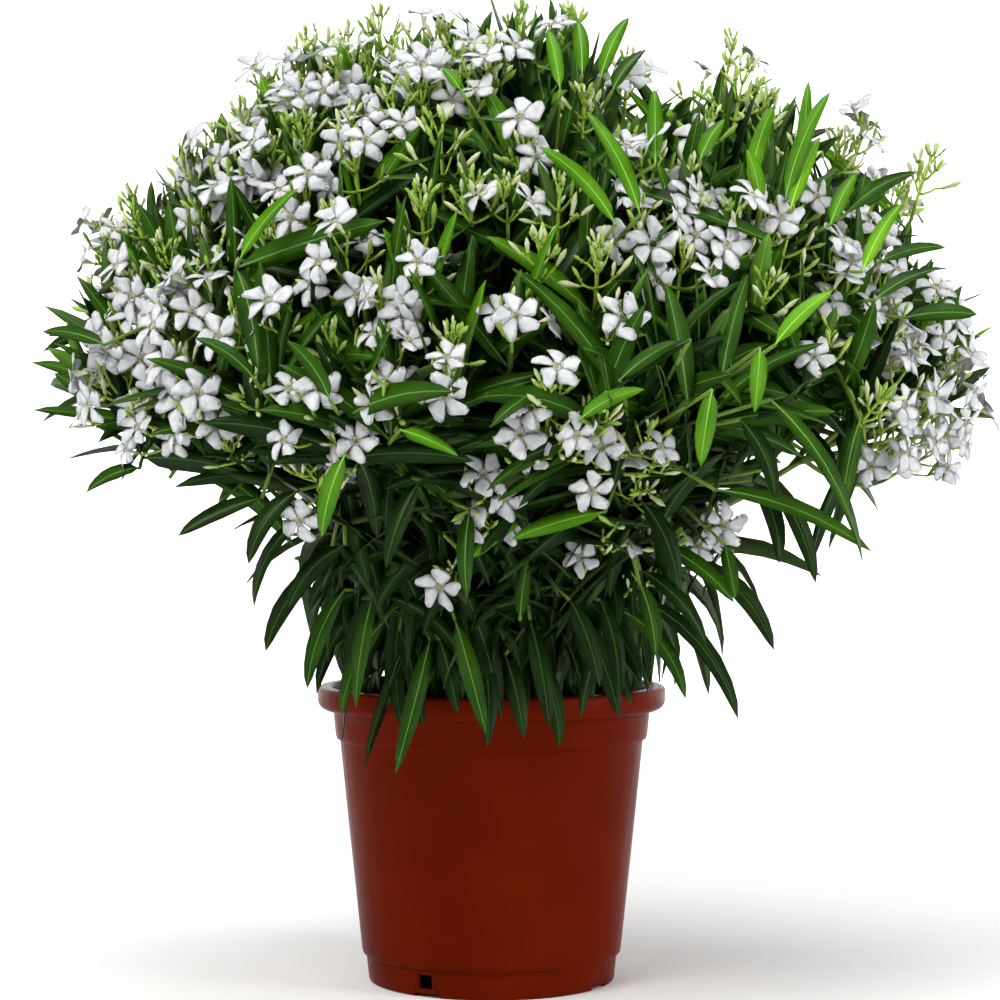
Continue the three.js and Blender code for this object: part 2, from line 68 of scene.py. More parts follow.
# Each stem's bearing, then the bearing, reach and height of the heart of each mass that it carries,
# in the order of the tiers.
STEMS = {
    "left": (190, (176, 136, 622), (170, 234, 556), (194, 252, 446), (186, 126, 344)),
    "front_left": (240, (226, 122, 622), (219, 218, 532), (243, 236, 428), (236, 126, 340)),
    "front": (284, (345, 46, 664), (268, 204, 520), (292, 236, 412), (288, 126, 338)),
    "right": (338, (292, 128, 598), (318, 222, 545), (347, 284, 444), (340, 126, 344)),
    "back_right": (31, (0, 160, 630), (8, 272, 566), (36, 246, 436), (30, 126, 342)),
    "back": (84, (62, 132, 618), (60, 224, 545), (88, 240, 428), (84, 126, 344)),
    "back_left": (136, (118, 132, 628), (116, 226, 545), (142, 244, 434), (136, 126, 342)),
}

# How a mass of each tier grows: its foot's share of the way from the fork, its lead, spread and lift
# as in the solids, how its leaves pitch and droop, and its share of young leaves.
TIERS = {
    "crown": Values(foot=0.66, lead=54, spread=66, lift=0.18, pitch=36, droop=0.06, young=0.4),
    "shoulder": Values(foot=0.64, lead=62, spread=70, lift=0.12, pitch=42, droop=0.14, young=0.3),
    "flank": Values(foot=0.62, lead=56, spread=68, lift=0.0, pitch=50, droop=0.36, young=0.15),
    "skirt": Values(lead=44, spread=60, lift=-0.14, pitch=56, droop=0.66, young=0.0),
}
SKIRT_FOOT = 0.74  # a skirt's share of the way up its stem

# The crown's outline: full above its waist, drawn in below it, and hanging over the rim.
CROWN = Values(aside=14, radius=380, waist=446, top=784, foot=168, foot_radius=184, back=362)
FULLNESS = 1.8  # the outline's power above the waist
TUCK = 1.1  # and below it
MARGIN = 46  # kept free round the shoots
AXIS = np.array([CROWN.aside, 0.0, 0.0])
LOW = 430  # below this height leaves droop more, and twigs carry leaves in painted shade
HUB = AXIS + UP * LOW  # what the shoots and flowers point away from

ARC = 1.7  # radians that a leaf turns downwards, for each unit of its droop
STEEPEST = 1.45  # radians below level that a leaf's tip may point
LEAF = Values(length=126, width=17.5, thickness=0.7, whorl_gap=18, arms=3)
SHORTEST_LEAF = 60
FOOT_PITCH = 76  # degrees between a shoot and the leaves at its foot
PITCH_NOISE, TURN_NOISE = 12, 17
MOST_LEAVES = 1500  # in one piece
OVERHANG_SLACK = 5  # the leaves with more slack than this may hang down outside the rim

POT_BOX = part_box("pot")
POT_TOP = POT_BOX[1].z / MM
RIM_RADIUS = (POT_BOX[1].x - POT_BOX[0].x) / 2 / MM

# How far to the left and to the right the leaves fill the plant, at heights from the rim up.
THIN_HEIGHTS = [220, 263, 303, 335, 367, 431, 470]
THIN_REACHES = [122, 126, 128, 132, 146, 240, 400], [112, 122, 128, 134, 146, 190, 360]
THIN_EDGE = 34  # over which the leaves get fewer
OPEN_AIR = 0.93  # the share of leaves that is left out beyond it

# The crown's top dips at its right: the heights that most leaves end at, across the plant.
DIP_PLACES = [60, 100, 122, 175, 205]
DIP_HEIGHTS = [800, 742, 700, 700, 735]
DIP_AIR = 0.88

# ---- the photo's view

# The photo's size, focal length, horizon and centre in pixels, and the camera's place in mm.
VIEW = Values(size=1000, focal=2650.0, horizon=480.0, centre=500.0)
EYE = np.array([6.8, -2126.0, 399.3])
TO_VIEWER = np.array([0, -1.0, 0])

# Flower heads that show in the photo: pixel column and row, number of open flowers, radius in mm.
HEADS = [
    (103, 250, 5, 22), (88, 300, 1, 12), (205, 302, 5, 24), (170, 322, 4, 18), (122, 352, 7, 28),
    (112, 398, 7, 30), (150, 430, 6, 28), (196, 418, 5, 22), (212, 152, 3, 18), (228, 208, 5, 28),
    (268, 112, 5, 28), (312, 52, 3, 20), (335, 98, 5, 26), (352, 165, 4, 20), (300, 200, 4, 22),
    (392, 112, 4, 24), (415, 62, 4, 24), (468, 88, 4, 26), (345, 275, 6, 32), (412, 278, 3, 18),
    (378, 305, 2, 16), (280, 332, 2, 14), (315, 420, 5, 28), (385, 362, 3, 20), (388, 402, 2, 18),
    (352, 445, 3, 22), (312, 482, 3, 22), (445, 388, 2, 14), (512, 322, 3, 15), (617, 323, 1, 10),
    (550, 402, 3, 17), (525, 455, 2, 14), (478, 492, 2, 15), (490, 530, 2, 15), (600, 465, 3, 18),
    (602, 548, 2, 15), (648, 446, 1, 12), (690, 545, 2, 16), (720, 524, 1, 12), (655, 185, 4, 24),
    (645, 232, 5, 22), (690, 190, 3, 18), (730, 240, 4, 24), (685, 268, 2, 14), (508, 200, 2, 14),
    (528, 146, 2, 12), (735, 52, 1, 12), (630, 74, 3, 14), (572, 20, 1, 12), (866, 146, 3, 18),
    (858, 250, 5, 22), (850, 300, 5, 22), (888, 345, 6, 28), (930, 338, 6, 26), (905, 385, 6, 28),
    (945, 390, 6, 26), (905, 440, 7, 28), (930, 462, 5, 24), (832, 346, 1, 14), (710, 130, 1, 12),
    (450, 575, 1, 12), (135, 300, 3, 18), (180, 372, 3, 18), (235, 330, 2, 14), (165, 290, 2, 14),
    (270, 160, 3, 18), (300, 110, 3, 18), (240, 180, 2, 16), (365, 70, 3, 18), (350, 130, 2, 16),
    (630, 150, 2, 14), (770, 230, 2, 14), (800, 205, 2, 14), (700, 225, 2, 16), (885, 300, 3, 18),
    (835, 275, 2, 16), (955, 430, 3, 18), (880, 450, 3, 18), (215, 265, 2, 14), (420, 95, 3, 18),
    (455, 60, 2, 14), (495, 60, 2, 14),
]
BUD_SPRAYS = [
    (520, 16, 15), (378, 32, 20), (345, 52, 14), (440, 42, 12), (298, 62, 12), (490, 66, 14),
    (240, 128, 16), (190, 172, 14), (262, 168, 16), (300, 140, 16), (128, 218, 16), (160, 262, 14),
    (200, 228, 14), (272, 236, 14), (330, 232, 14), (440, 150, 22), (470, 200, 16), (420, 212, 14),
    (585, 110, 12), (560, 205, 16), (540, 262, 16), (600, 268, 14), (745, 92, 22), (770, 112, 14),
    (800, 160, 12), (790, 252, 24), (770, 300, 16), (845, 152, 14), (935, 172, 16), (905, 200, 12),
    (250, 395, 14), (330, 355, 16), (452, 350, 12), (225, 452, 14), (560, 448, 14), (635, 500, 24),
    (655, 470, 18), (668, 545, 14), (600, 420, 12), (880, 410, 12), (640, 590, 12),
]

# Single leaves that stand out in the photo: where each begins and ends, in pixels, and its tone.
# Leaves lit in the view take the tone of painted light, leaves in shade that of painted shade.
LEAVES_IN_VIEW = [
    (770, 400, 873, 548, "green"), (715, 490, 872, 547, "green"), (775, 345, 835, 293, "young"),
    (760, 348, 758, 414, "bright"), (712, 390, 706, 468, "bright"), (400, 430, 455, 462, "bright"),
    (345, 455, 325, 538, "bright"), (605, 512, 515, 552, "bright"), (690, 340, 612, 402, "dark"),
    (105, 345, 40, 335, "green"), (140, 468, 86, 486, "green"), (262, 498, 180, 542, "dark"),
    (880, 262, 948, 250, "green"), (875, 300, 945, 268, "green"), (905, 318, 978, 318, "green"),
    (800, 190, 812, 82, "bright"), (785, 200, 828, 92, "bright"), (750, 190, 765, 104, "bright"),
    (790, 210, 826, 140, "young"), (760, 205, 745, 150, "bright"), (845, 215, 912, 170, "green"),
    (862, 272, 905, 205, "young"), (830, 225, 860, 175, "bright"), (655, 165, 655, 90, "bright"),
    (600, 80, 628, 18, "bright"), (582, 75, 583, 22, "bright"), (560, 90, 548, 30, "bright"),
    (612, 92, 645, 50, "green"), (640, 215, 582, 112, "bright"), (615, 225, 545, 145, "bright"),
    (700, 160, 725, 120, "bright"), (460, 90, 440, 70, "bright"), (240, 260, 300, 190, "bright"),
    (330, 400, 290, 340, "green"), (255, 380, 200, 335, "green"), (580, 420, 640, 385, "bright"),
    (620, 380, 680, 345, "green"), (470, 560, 530, 520, "bright"), (520, 620, 528, 555, "green"),
    (640, 585, 655, 655, "green"), (660, 545, 735, 600, "green"), (725, 545, 730, 600, "green"),
]

# How they droop, how deep in the crown they start, and how far down in pixels a hanging one ends.
IN_VIEW = Values(droop=0.3, inset=-8, hanging_inset=-18, hanging=50)

# Leaves that hang over the rim and beside it, from their roots to their tips, in pixels.
LEAVES_OVER_RIM = [
    (430, 640, 425, 776), (478, 640, 486, 744), (505, 655, 513, 740), (530, 650, 553, 746),
    (385, 620, 351, 717), (640, 600, 742, 710), (640, 570, 702, 650), (690, 560, 777, 642),
    (620, 610, 690, 690), (330, 560, 268, 655), (345, 545, 290, 610), (300, 520, 250, 600),
    (345, 590, 318, 690), (300, 490, 246, 560), (752, 480, 778, 560), (762, 470, 800, 588),
    (860, 420, 852, 512), (740, 420, 770, 500), (600, 600, 612, 700), (570, 600, 585, 690),
    (455, 620, 462, 738), (400, 630, 408, 730), (530, 620, 536, 728), (585, 620, 598, 722),
    (372, 600, 366, 708), (440, 640, 446, 716), (640, 500, 672, 590), (420, 480, 402, 572),
    (470, 510, 466, 598),
]

OVER_RIM = Values(droop=0.5, inset=12, green_each=4)

# A placed leaf's tip follows the crown's face by a share of its depth, up to a limit in mm.
FOLLOW, DEEPEST, FORWARD = 0.6, 70.0, 8

# Flower heads behind the view: where they start, how deep they sit, and the share of tips with one.
BACK_STARTS, BACK_DEPTH, BACK_SHARE = 30, 62.0, 0.62

# ---- directions, chance and curves


def unit(v):
    return v / np.maximum(norm(v, axis=-1, keepdims=True), 1e-9)


def chance(*keys):
    """A repeatable number from 0 to 1 for a list of whole numbers, the same as in the source."""
    mask = 0xFFFFFFFF
    value = 2166136261
    for key in keys:
        value = ((value ^ (key + 1)) * 16777619) & mask
    value = ((value ^ (value >> 15)) * 0x2C1B3C6D) & mask
    value = ((value ^ (value >> 12)) * 0x297A2D39) & mask
    return (value ^ (value >> 15)) / 2**32


def within(share, low, high):
    return low + share * (high - low)


def polar(bearing, radius, height):
    angle = math.radians(bearing)
    return np.array([radius * math.cos(angle), radius * math.sin(angle), height])


def across(axis):
    reference = np.array([1.0, 0.0, 0.0]) if abs(axis[2]) > 0.98 else UP
    side = unit(np.cross(axis, reference))
    return side, np.cross(side, axis)


def facing(face, spin=0.0):
    """The axes of something whose own upright axis is to face a given way, as rows."""
    side, over = across(face)
    turned = side * math.cos(spin) + over * math.sin(spin)
    return np.stack([turned, np.cross(face, turned), face])


def lean(axis, angle, turn):
    """The direction that leans from an axis by one angle, turned about it by the other."""
    side, over = across(axis)
    angle, turn = math.radians(angle), math.radians(turn)
    return axis * math.cos(angle) + math.sin(angle) * (side * math.cos(turn) + over * math.sin(turn))


def bezier(controls, count):
    """Points along a quadratic or cubic curve."""
    t = np.linspace(0, 1, count)[:, None]
    if len(controls) == 3:
        a, b, c = controls
        return a * (1 - t) ** 2 + b * 2 * t * (1 - t) + c * t**2
    a, b, c, d = controls
    return a * (1 - t) ** 3 + b * 3 * t * (1 - t) ** 2 + c * 3 * t**2 * (1 - t) + d * t**3


def tangents(points):
    return unit(np.gradient(points, axis=0))


def length_of(points):
    return norm(np.diff(points, axis=0), axis=1).sum()


def place_on(points, share):
    """The point and the axis at a share of a curve's length."""
    at = share * (len(points) - 1)
    i = min(int(at), len(points) - 2)
    return points[i] + (points[i + 1] - points[i]) * (at - i), unit(points[i + 1] - points[i])


# ---- meshes


def put_in_scene(name, data):
    made = bpy.data.objects.new(name, data)
    bpy.context.scene.collection.objects.link(made)
    return made


class Batch:
    """Geometry that becomes one mesh. Each part of it names a material by its number."""

    def __init__(self):
        self.points = []
        self.faces = {3: [], 4: []}
        self.kinds = {3: [], 4: []}
        self.count = 0

    def add(self, points, *groups):
        """Adds points, with arrays of faces on them, each with its kind."""
        points = np.asarray(points, float).reshape(-1, 3)
        for faces, kind in groups:
            faces = np.asarray(faces, int)
            self.faces[faces.shape[1]].append(faces + self.count)
            self.kinds[faces.shape[1]].append(np.broadcast_to(kind, len(faces)))
        self.points.append(points)
        self.count += len(points)

    def mesh(self, name, materials=(), smooth=True):
        """All of it as one mesh in metres."""
        points = np.concatenate(self.points) * MM
        loops, sizes, kinds = [], [], []
        for corners in (3, 4):
            if self.faces[corners]:
                faces = np.concatenate(self.faces[corners])
                loops.append(faces.ravel())
                sizes.append(np.full(len(faces), corners))
                kinds.append(np.concatenate(self.kinds[corners]))
        loops, sizes, kinds = (np.concatenate(values) for values in (loops, sizes, kinds))
        mesh = bpy.data.meshes.new(name)
        mesh.vertices.add(len(points))
        mesh.vertices.foreach_set("co", points.astype(np.float32).ravel())
        mesh.loops.add(len(loops))
        mesh.loops.foreach_set("vertex_index", loops.astype(np.int32))
        mesh.polygons.add(len(sizes))
        starts = np.concatenate([[0], np.cumsum(sizes)[:-1]])
        mesh.polygons.foreach_set("loop_start", starts.astype(np.int32))
        mesh.polygons.foreach_set("material_index", kinds.astype(np.int32))
        mesh.polygons.foreach_set("use_smooth", np.full(len(sizes), smooth))
        mesh.update(calc_edges=True)
        mesh.validate()
        for material in materials:
            mesh.materials.append(material)
        return mesh

    def build(self, name, materials, slot, replaced=(), smooth=True):
        """Puts the mesh in the scene as a piece of the visual model."""
        piece = put_in_scene(name, self.mesh(name, materials, smooth))
        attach(piece, "root")
        if replaced:
            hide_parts(*replaced)
        return piece


def grid_faces(rows, columns, closed=True):
    """Quads between rows of points, with each row a ring where it is closed."""
    i, j = np.meshgrid(np.arange(rows - 1), np.arange(columns if closed else columns - 1), indexing="ij")
    k = (j + 1) % columns
    corners = [i * columns + j, i * columns + k, (i + 1) * columns + k, (i + 1) * columns + j]
    return np.stack(corners, -1).reshape(-1, 4)


def closed_faces(rows, sides):
    """The faces of stacked rings, closed at both ends by fans from the two points that follow them."""
    j = np.arange(sides)
    k = (j + 1) % sides
    last = (rows - 1) * sides
    foot = np.stack([np.full(sides, rows * sides), k, j], -1)
    head = np.stack([np.full(sides, rows * sides + 1), last + j, last + k], -1)
    return (grid_faces(rows, sides), 0), (np.concatenate([foot, head]), 0)


def full_turn(count):
    return np.arange(count) / count * 2 * np.pi


def revolved(radii, heights, count, twist=0.0):
    """Rings of points round the upright axis, one for each radius, each turned by its twist."""
    rows = len(radii)
    angles = full_turn(count) + np.reshape(twist, (-1, 1))
    heights = np.broadcast_to(np.reshape(heights, (rows, -1)), (rows, count))
    radii = np.reshape(radii, (rows, 1))
    return np.stack([radii * np.cos(angles), radii * np.sin(angles), heights], -1)


def spun(points, angle):
    """Points turned about the upright axis."""
    c, s = math.cos(angle), math.sin(angle)
    return points @ np.array([[c, s, 0], [-s, c, 0], [0, 0, 1]])


def tube(batch, points, radii, sides):
    """A tube along points, closed at both ends. Each point has a radius, or one for each side."""
    axes = tangents(points)
    side = across(axes[0])[0]
    rings = []
    angles = full_turn(sides)[:, None]
    for centre, axis, radius in zip(points, axes, np.asarray(radii, float)):
        side = unit(side - axis * side.dot(axis))
        spokes = np.cos(angles) * side + np.sin(angles) * np.cross(axis, side)
        rings.append(centre + spokes * np.reshape(radius, (-1, 1)))
    batch.add(np.concatenate([*rings, points[:1], points[-1:]]), *closed_faces(len(points), sides))


# ---- materials


RAMP = (0.32, 0.68)  # the noise's values that a material's two tones stand at


def add_noise(made, vector, scale, detail):
    noise = made.node_tree.nodes.new("ShaderNodeTexNoise")
    noise.inputs["Scale"].default_value = scale
    noise.inputs["Detail"].default_value = detail
    made.node_tree.links.new(vector, noise.inputs["Vector"])
    return noise.outputs["Fac"]


def add_bump(made, height, strength, distance):
    nodes, links = made.node_tree.nodes, made.node_tree.links
    relief = nodes.new("ShaderNodeBump")
    relief.inputs["Strength"].default_value = strength
    relief.inputs["Distance"].default_value = distance
    links.new(height, relief.inputs["Height"])
    links.new(relief.outputs["Normal"], nodes["Principled BSDF"].inputs["Normal"])


def material(name, colours, scale=40.0, roughness=0.5, bump=0.0, bump_scale=400.0, specular=0.3):
    """A principled material whose colour wanders between two tones, with a fine bump."""
    made = bpy.data.materials.new(name)
    made.use_nodes = True
    nodes, links = made.node_tree.nodes, made.node_tree.links
    shader = nodes["Principled BSDF"]
    shader.inputs["Roughness"].default_value = roughness
    shader.inputs["Specular IOR Level"].default_value = specular
    place = nodes.new("ShaderNodeTexCoord").outputs["Object"]
    ramp = nodes.new("ShaderNodeValToRGB")
    for element, position, colour in zip(ramp.color_ramp.elements, RAMP, colours):
        element.position = position
        element.color = (*colour, 1)
    links.new(add_noise(made, place, scale, 4.0), ramp.inputs["Fac"])
    links.new(ramp.outputs["Color"], shader.inputs["Base Color"])
    if bump:
        add_bump(made, add_noise(made, place, bump_scale, 3.0), bump, 0.001)
    return made


def leaf_materials(name, deep, light, rib):
    """The upper face, the midrib and the paler underside of one tone of leaf."""
    under = tuple(within(0.3, c, g) for c, g in zip(light, (0.13, 0.21, 0.07)))
    return [
        material(f"{name}_upper", (deep, light), 26, 0.36, 0.12, 900, 0.085),
        material(f"{name}_rib", (rib, tuple(1.15 * c for c in rib)), 60, 0.5, 0.05, 900, 0.1),
        material(f"{name}_under", (tuple(0.8 * c for c in under), under), 30, 0.6, 0.2, 700, 0.08),
    ]


# Tones of leaf: the fresh colour of young leaves, a mid green, and copies of the green with painted light
# and with painted shade, dealt out by where a leaf sits.
LEAF_TONES = {
    "young": ((0.080, 0.255, 0.005), (0.155, 0.380, 0.011), (0.30, 0.50, 0.09)),
    "bright": ((0.041, 0.142, 0.003), (0.082, 0.240, 0.006), (0.18, 0.35, 0.06)),
    "green": ((0.011, 0.044, 0.0018), (0.028, 0.088, 0.0035), (0.10, 0.21, 0.04)),
    "dark": ((0.004, 0.015, 0.0012), (0.010, 0.033, 0.0025), (0.04, 0.09, 0.02)),
}

# ---- growth


def stem_points(bearing, count=40):
    foot = polar(bearing, STEM.ring_radius, SOIL_TOP + CLEAR)
    fork = polar(bearing, STEM.fork_radius, STEM.fork_height)
    knee = polar(bearing, STEM.ring_radius + 6, (SOIL_TOP + STEM.fork_height) / 2)
    return bezier([foot, knee, fork], count)


def plan_masses():
    """Where each mass of foliage starts, points and has its heart, and the bough that carries it."""
    masses = []
    for s, (bearing, *hearts) in enumerate(STEMS.values()):
        stalk = stem_points(bearing)
        fork, fork_axis = stalk[-1], unit(stalk[-1] - stalk[-2])
        carried = []
        for k, (tier, place) in enumerate(zip(TIERS, hearts)):
            heart = polar(*place) + AXIS
            mass = Values(tier=tier, heart=heart, key=10 * s + k, grow=TIERS[tier], bough=None)
            if tier == "skirt":
                point, axis = place_on(stalk, SKIRT_FOOT)
                out = heart - point
                out = unit(out - axis * out.dot(axis))
                mass.foot, mass.axis = point + out * (STEM.foot_radius + CLEAR), out
            else:
                mass.foot = fork + (heart - fork) * mass.grow.foot
                mass.axis = unit(heart - fork)
                carried.append(mass)
            masses.append(mass)
        plan_boughs(fork, fork_axis, carried)
    return masses


def plan_boughs(fork, axis, carried):
    """Gives each bough of a stem its slot on the stem's tip, and its curve."""
    side, over = across(axis)
    for mass in carried:
        way = mass.heart - fork
        mass.turn = math.degrees(math.atan2(way.dot(over), way.dot(side)))
    carried.sort(key=lambda mass: mass.turn)
    third = 360 / len(carried)
    offset = sum(mass.turn - i * third for i, mass in enumerate(carried)) / len(carried)
    for i, mass in enumerate(carried):
        start = fork + lean(axis, 90, offset + i * third) * BOUGH.slot
        reach = norm(mass.foot - start)
        bends = [start + axis * reach * 0.36, mass.foot - mass.axis * reach * 0.36]
        mass.bough = bezier([start - axis * 3, *bends, mass.foot + mass.axis * 2], 40)


def spare_reach(points, margin=0.0):
    """How far points lie inside the crown's outline at their height, and below 0 outside it."""
    z = points[..., 2]
    above = z > CROWN.waist
    power = np.where(above, FULLNESS, TUCK)
    height = np.where(above, CROWN.top - CROWN.waist, CROWN.waist - CROWN.foot)
    share = np.abs(z - CROWN.waist) / (height - margin)
    radius = CROWN.radius * np.maximum(1 - share**power, 0) ** (1 / power)
    radius = np.where(above, radius, np.maximum(radius, CROWN.foot_radius))
    spare = radius - np.hypot(points[..., 0] - CROWN.aside, points[..., 1])
    return np.where(share <= 1, spare, -1000.0)


def in_space(point, mass, masses, depth):
    """Whether a point lies that deep inside its mass's space."""
    for other in masses:
        if other is not mass:
            way = other.heart - mass.heart
            if (mass.heart + way / 2 - point).dot(unit(way)) <= depth:
                return False
    return True


def grow_shoots(mass, masses):
    """The leader and side shoots of the mass's solid, then finer shoots between them."""
    grow, key, heart = mass.grow, mass.key, mass.heart
    start = mass.foot + mass.axis * CLEAR
    forward = unit(heart - start)

    def shoot(begin, tip, count=14):
        length = norm(tip - begin)
        bend = (begin + tip) / 2 + forward * length * 0.14 - UP * length * grow.lift
        return bezier([begin, bend, tip], count)

    def drawn_in(tip, depth=12):
        for _ in range(12):
            clear = spare_reach(tip, MARGIN) > MARGIN
            if clear and in_space(tip, mass, masses, depth):
                break
            tip = tip + (heart - tip) * 0.08
        return tip

    lead_tip = drawn_in(heart + forward * grow.lead + UP * grow.lead * grow.lift)
    leader = shoot(start, lead_tip, 20)
    shoots = [leader]
    length = norm(lead_tip - start)
    first_turn = 120 * chance(key, 1)
    for i in range(SIDES):
        point, axis = place_on(leader, 0.2 + i * SIDE_STAGGER / length)
        way = lean(axis, within(chance(key, 2, i), 60, 78), first_turn + 60 + 120 * i)
        tip = drawn_in(heart + way * grow.spread + UP * grow.spread * grow.lift)
        shoots.append(shoot(point, tip))
    for i in range(FINER):
        parent = shoots[i % (SIDES + 1)]
        point, _ = place_on(parent, 0.3 + 0.25 * chance(key, 7, i))
        turn = 137.5 * i + 360 * chance(key, 6)
        way = lean(forward, within((i + 0.5) / FINER, 28, 112), turn)
        reach = grow.spread * within(chance(key, 8, i), 0.85, 1.15)
        tip = drawn_in(heart + way * reach + UP * reach * grow.lift, 2)
        shoots.append(shoot(point, tip))
    return shoots


class Leaves:
    """Leaves to be made, as lists of their roots, directions and sizes."""

    def __init__(self):
        self.rows = []

    def add(self, root, direction, face, length, droop, tone, width=None, fixed=False):
        width = width or LEAF.width * (0.45 + 0.55 * length / LEAF.length) * uniform(0.8, 1.15)
        self.rows.append((root, direction, face, length, width, droop, tone, fixed))

    def whorls(self, points, grow, shares, size=1.0, tone=None):
        """Whorls of three along a shoot, each whorl turned a sixth from the one before it."""
        spin = uniform(0, 120)
        for w, share in enumerate(shares):
            point, axis = place_on(points, share)
            for arm in range(LEAF.arms):
                root = point - axis * uniform(0, 4)
                turn = spin + 60 * w + 120 * arm + normal(0, TURN_NOISE)
                pitch = within(share, FOOT_PITCH, grow.pitch) + normal(0, PITCH_NOISE)
                direction = lean(axis, pitch, turn)
                face = unit(axis - direction * axis.dot(direction))
                droop = grow.droop * within(share, 1.5, 0.8) * uniform(0.6, 1.4)
                droop *= 1 + 1.2 * float(np.clip((LOW - root[2]) / 110, 0, 1))
                length = LEAF.length * uniform(0.78, 1.12) * size
                length *= 1 - 0.3 * max(0.0, (share - 0.8) / 0.2)
                self.add(root, direction, face, length, droop, tone or leaf_tone(share, grow, root))


DARK_SHADE, GREEN_SHADE = 0.62, 0.32


def leaf_tone(share, grow, root):
    """Painted light and shade: young leaves at the tips of the upper shoots, painted-shade leaves low
    down and deep inside, and painted-light leaves high up and near the outside.
    """
    depth = np.clip(spare_reach(root) / 120, 0, 1)
    low = np.clip((510 - root[2]) / 112, 0, 1)
    sunny = np.clip((root[2] - 560) / 120, 0, 1)
    shade = max(low, 0.85 * depth * (1 - 0.5 * sunny)) + uniform(-0.36, 0.25)
    # A high shade value gives the tone of painted shade, a low one leaves room for painted light.
    if shade > DARK_SHADE:
        return "dark"
    if shade > GREEN_SHADE:
        return "green"
    if share > 0.86 and random.random() < grow.young:
        return "young"
    return "bright" if random.random() < 0.62 else "green"


def curved(rows, t):
    """Centre lines of leaves at shares t of their length: arcs that turn downwards by their droop."""
    roots, directions, lengths, droops = rows
    level = unit(directions * [1, 1, 0])[:, None, :]
    rise = np.arcsin(np.clip(directions[:, 2], -1, 1))
    turn = np.maximum(np.minimum(ARC * droops, rise + STEEPEST), 0.01)
    rise, turn, lengths = (values[:, None, None] for values in (rise, turn, lengths))
    t = t[None, :, None]
    along = (np.sin(rise) - np.sin(rise - turn * t)) / turn
    upward = (np.cos(rise - turn * t) - np.cos(rise)) / turn
    return roots[:, None, :] + lengths * (level * along + UP * upward)


def fitting(roots, directions, lengths, droops, slack):
    """Whether each leaf keeps within the crown's reach and out of the pot."""
    line = curved((roots, directions, lengths, droops), np.array([0.35, 0.6, 0.8, 1.0]))
    inside = (spare_reach(line) > -slack[:, None]).all(1) & (line[..., 1] < CROWN.back).all(1)
    reach = np.hypot(line[..., 0], line[..., 1])
    lowest = np.where(reach < RIM_RADIUS - 16, SOIL_TOP + 5, POT_TOP + 3)
    beside = (reach > RIM_RADIUS + 3) & (slack[:, None] > OVERHANG_SLACK)
    in_pot = (line[..., 2] < lowest) & ~beside
    return inside & ~in_pot.any(1)


def thinned(roots, directions, lengths, droops):
    """Low down, fewer leaves reach out to the sides, so that the sky shows between them."""
    tips = curved((roots, directions, lengths, droops), np.array([1.0]))[:, 0]
    aside = tips[:, 0] - CROWN.aside * 0.5
    left, right = (np.interp(tips[:, 2], THIN_HEIGHTS, reach) for reach in THIN_REACHES)
    beyond = np.where(aside < 0, -aside - left, aside - right)
    open_air = OPEN_AIR * np.clip(beyond / THIN_EDGE, 0, 1)
    dip = tips[:, 2] > np.interp(tips[:, 0], DIP_PLACES, DIP_HEIGHTS)
    return random.random(len(tips)) > np.where(dip, DIP_AIR, open_air)


LEAF_ROWS = np.array([0, 0.05, 0.16, 0.3, 0.46, 0.62, 0.78, 0.9, 1.0])  # shares of its length


def make_leaves(leaves):
    """One mesh for each tone of leaf. A leaf that would reach too far turns up or is shorter."""
    columns = [np.array(values) for values in zip(*leaves.rows)]
    roots, directions, faces, lengths, widths, droops, tones, fixed = columns
    slack = uniform(-14, 16, len(roots))
    fits = fixed | fitting(roots, directions, lengths, droops, slack)
    upper = (roots[:, 2] > LOW)[:, None]
    inward = unit(AXIS - roots * [1, 1, 0])
    for attempt in range(9):
        if attempt % 3 < 2:
            turned = unit(directions + np.where(upper, 0.3 * UP, 0.16 * UP + 0.2 * inward))
            directions = np.where(fits[:, None], directions, turned)
            droops = np.where(fits, droops, droops * 0.8)
        else:
            lengths = np.where(fits, lengths, lengths * 0.9)
        fits = fixed | fitting(roots, directions, lengths, droops, slack)
    kept = fixed | (fits & (lengths > SHORTEST_LEAF) & thinned(roots, directions, lengths, droops))
    for tone, colours in LEAF_TONES.items():
        chosen = np.nonzero(kept & (tones == tone))[0]
        materials = leaf_materials(f"leaf_{tone}", *colours)
        for part, some in enumerate(np.array_split(chosen, 1 + len(chosen) // MOST_LEAVES)):
            batch = Batch()
            rows = (roots[some], directions[some], lengths[some], droops[some])
            blade_points(batch, rows, faces[some], widths[some])
            batch.build(f"leaves_{tone}_{part}", materials, "foliage")


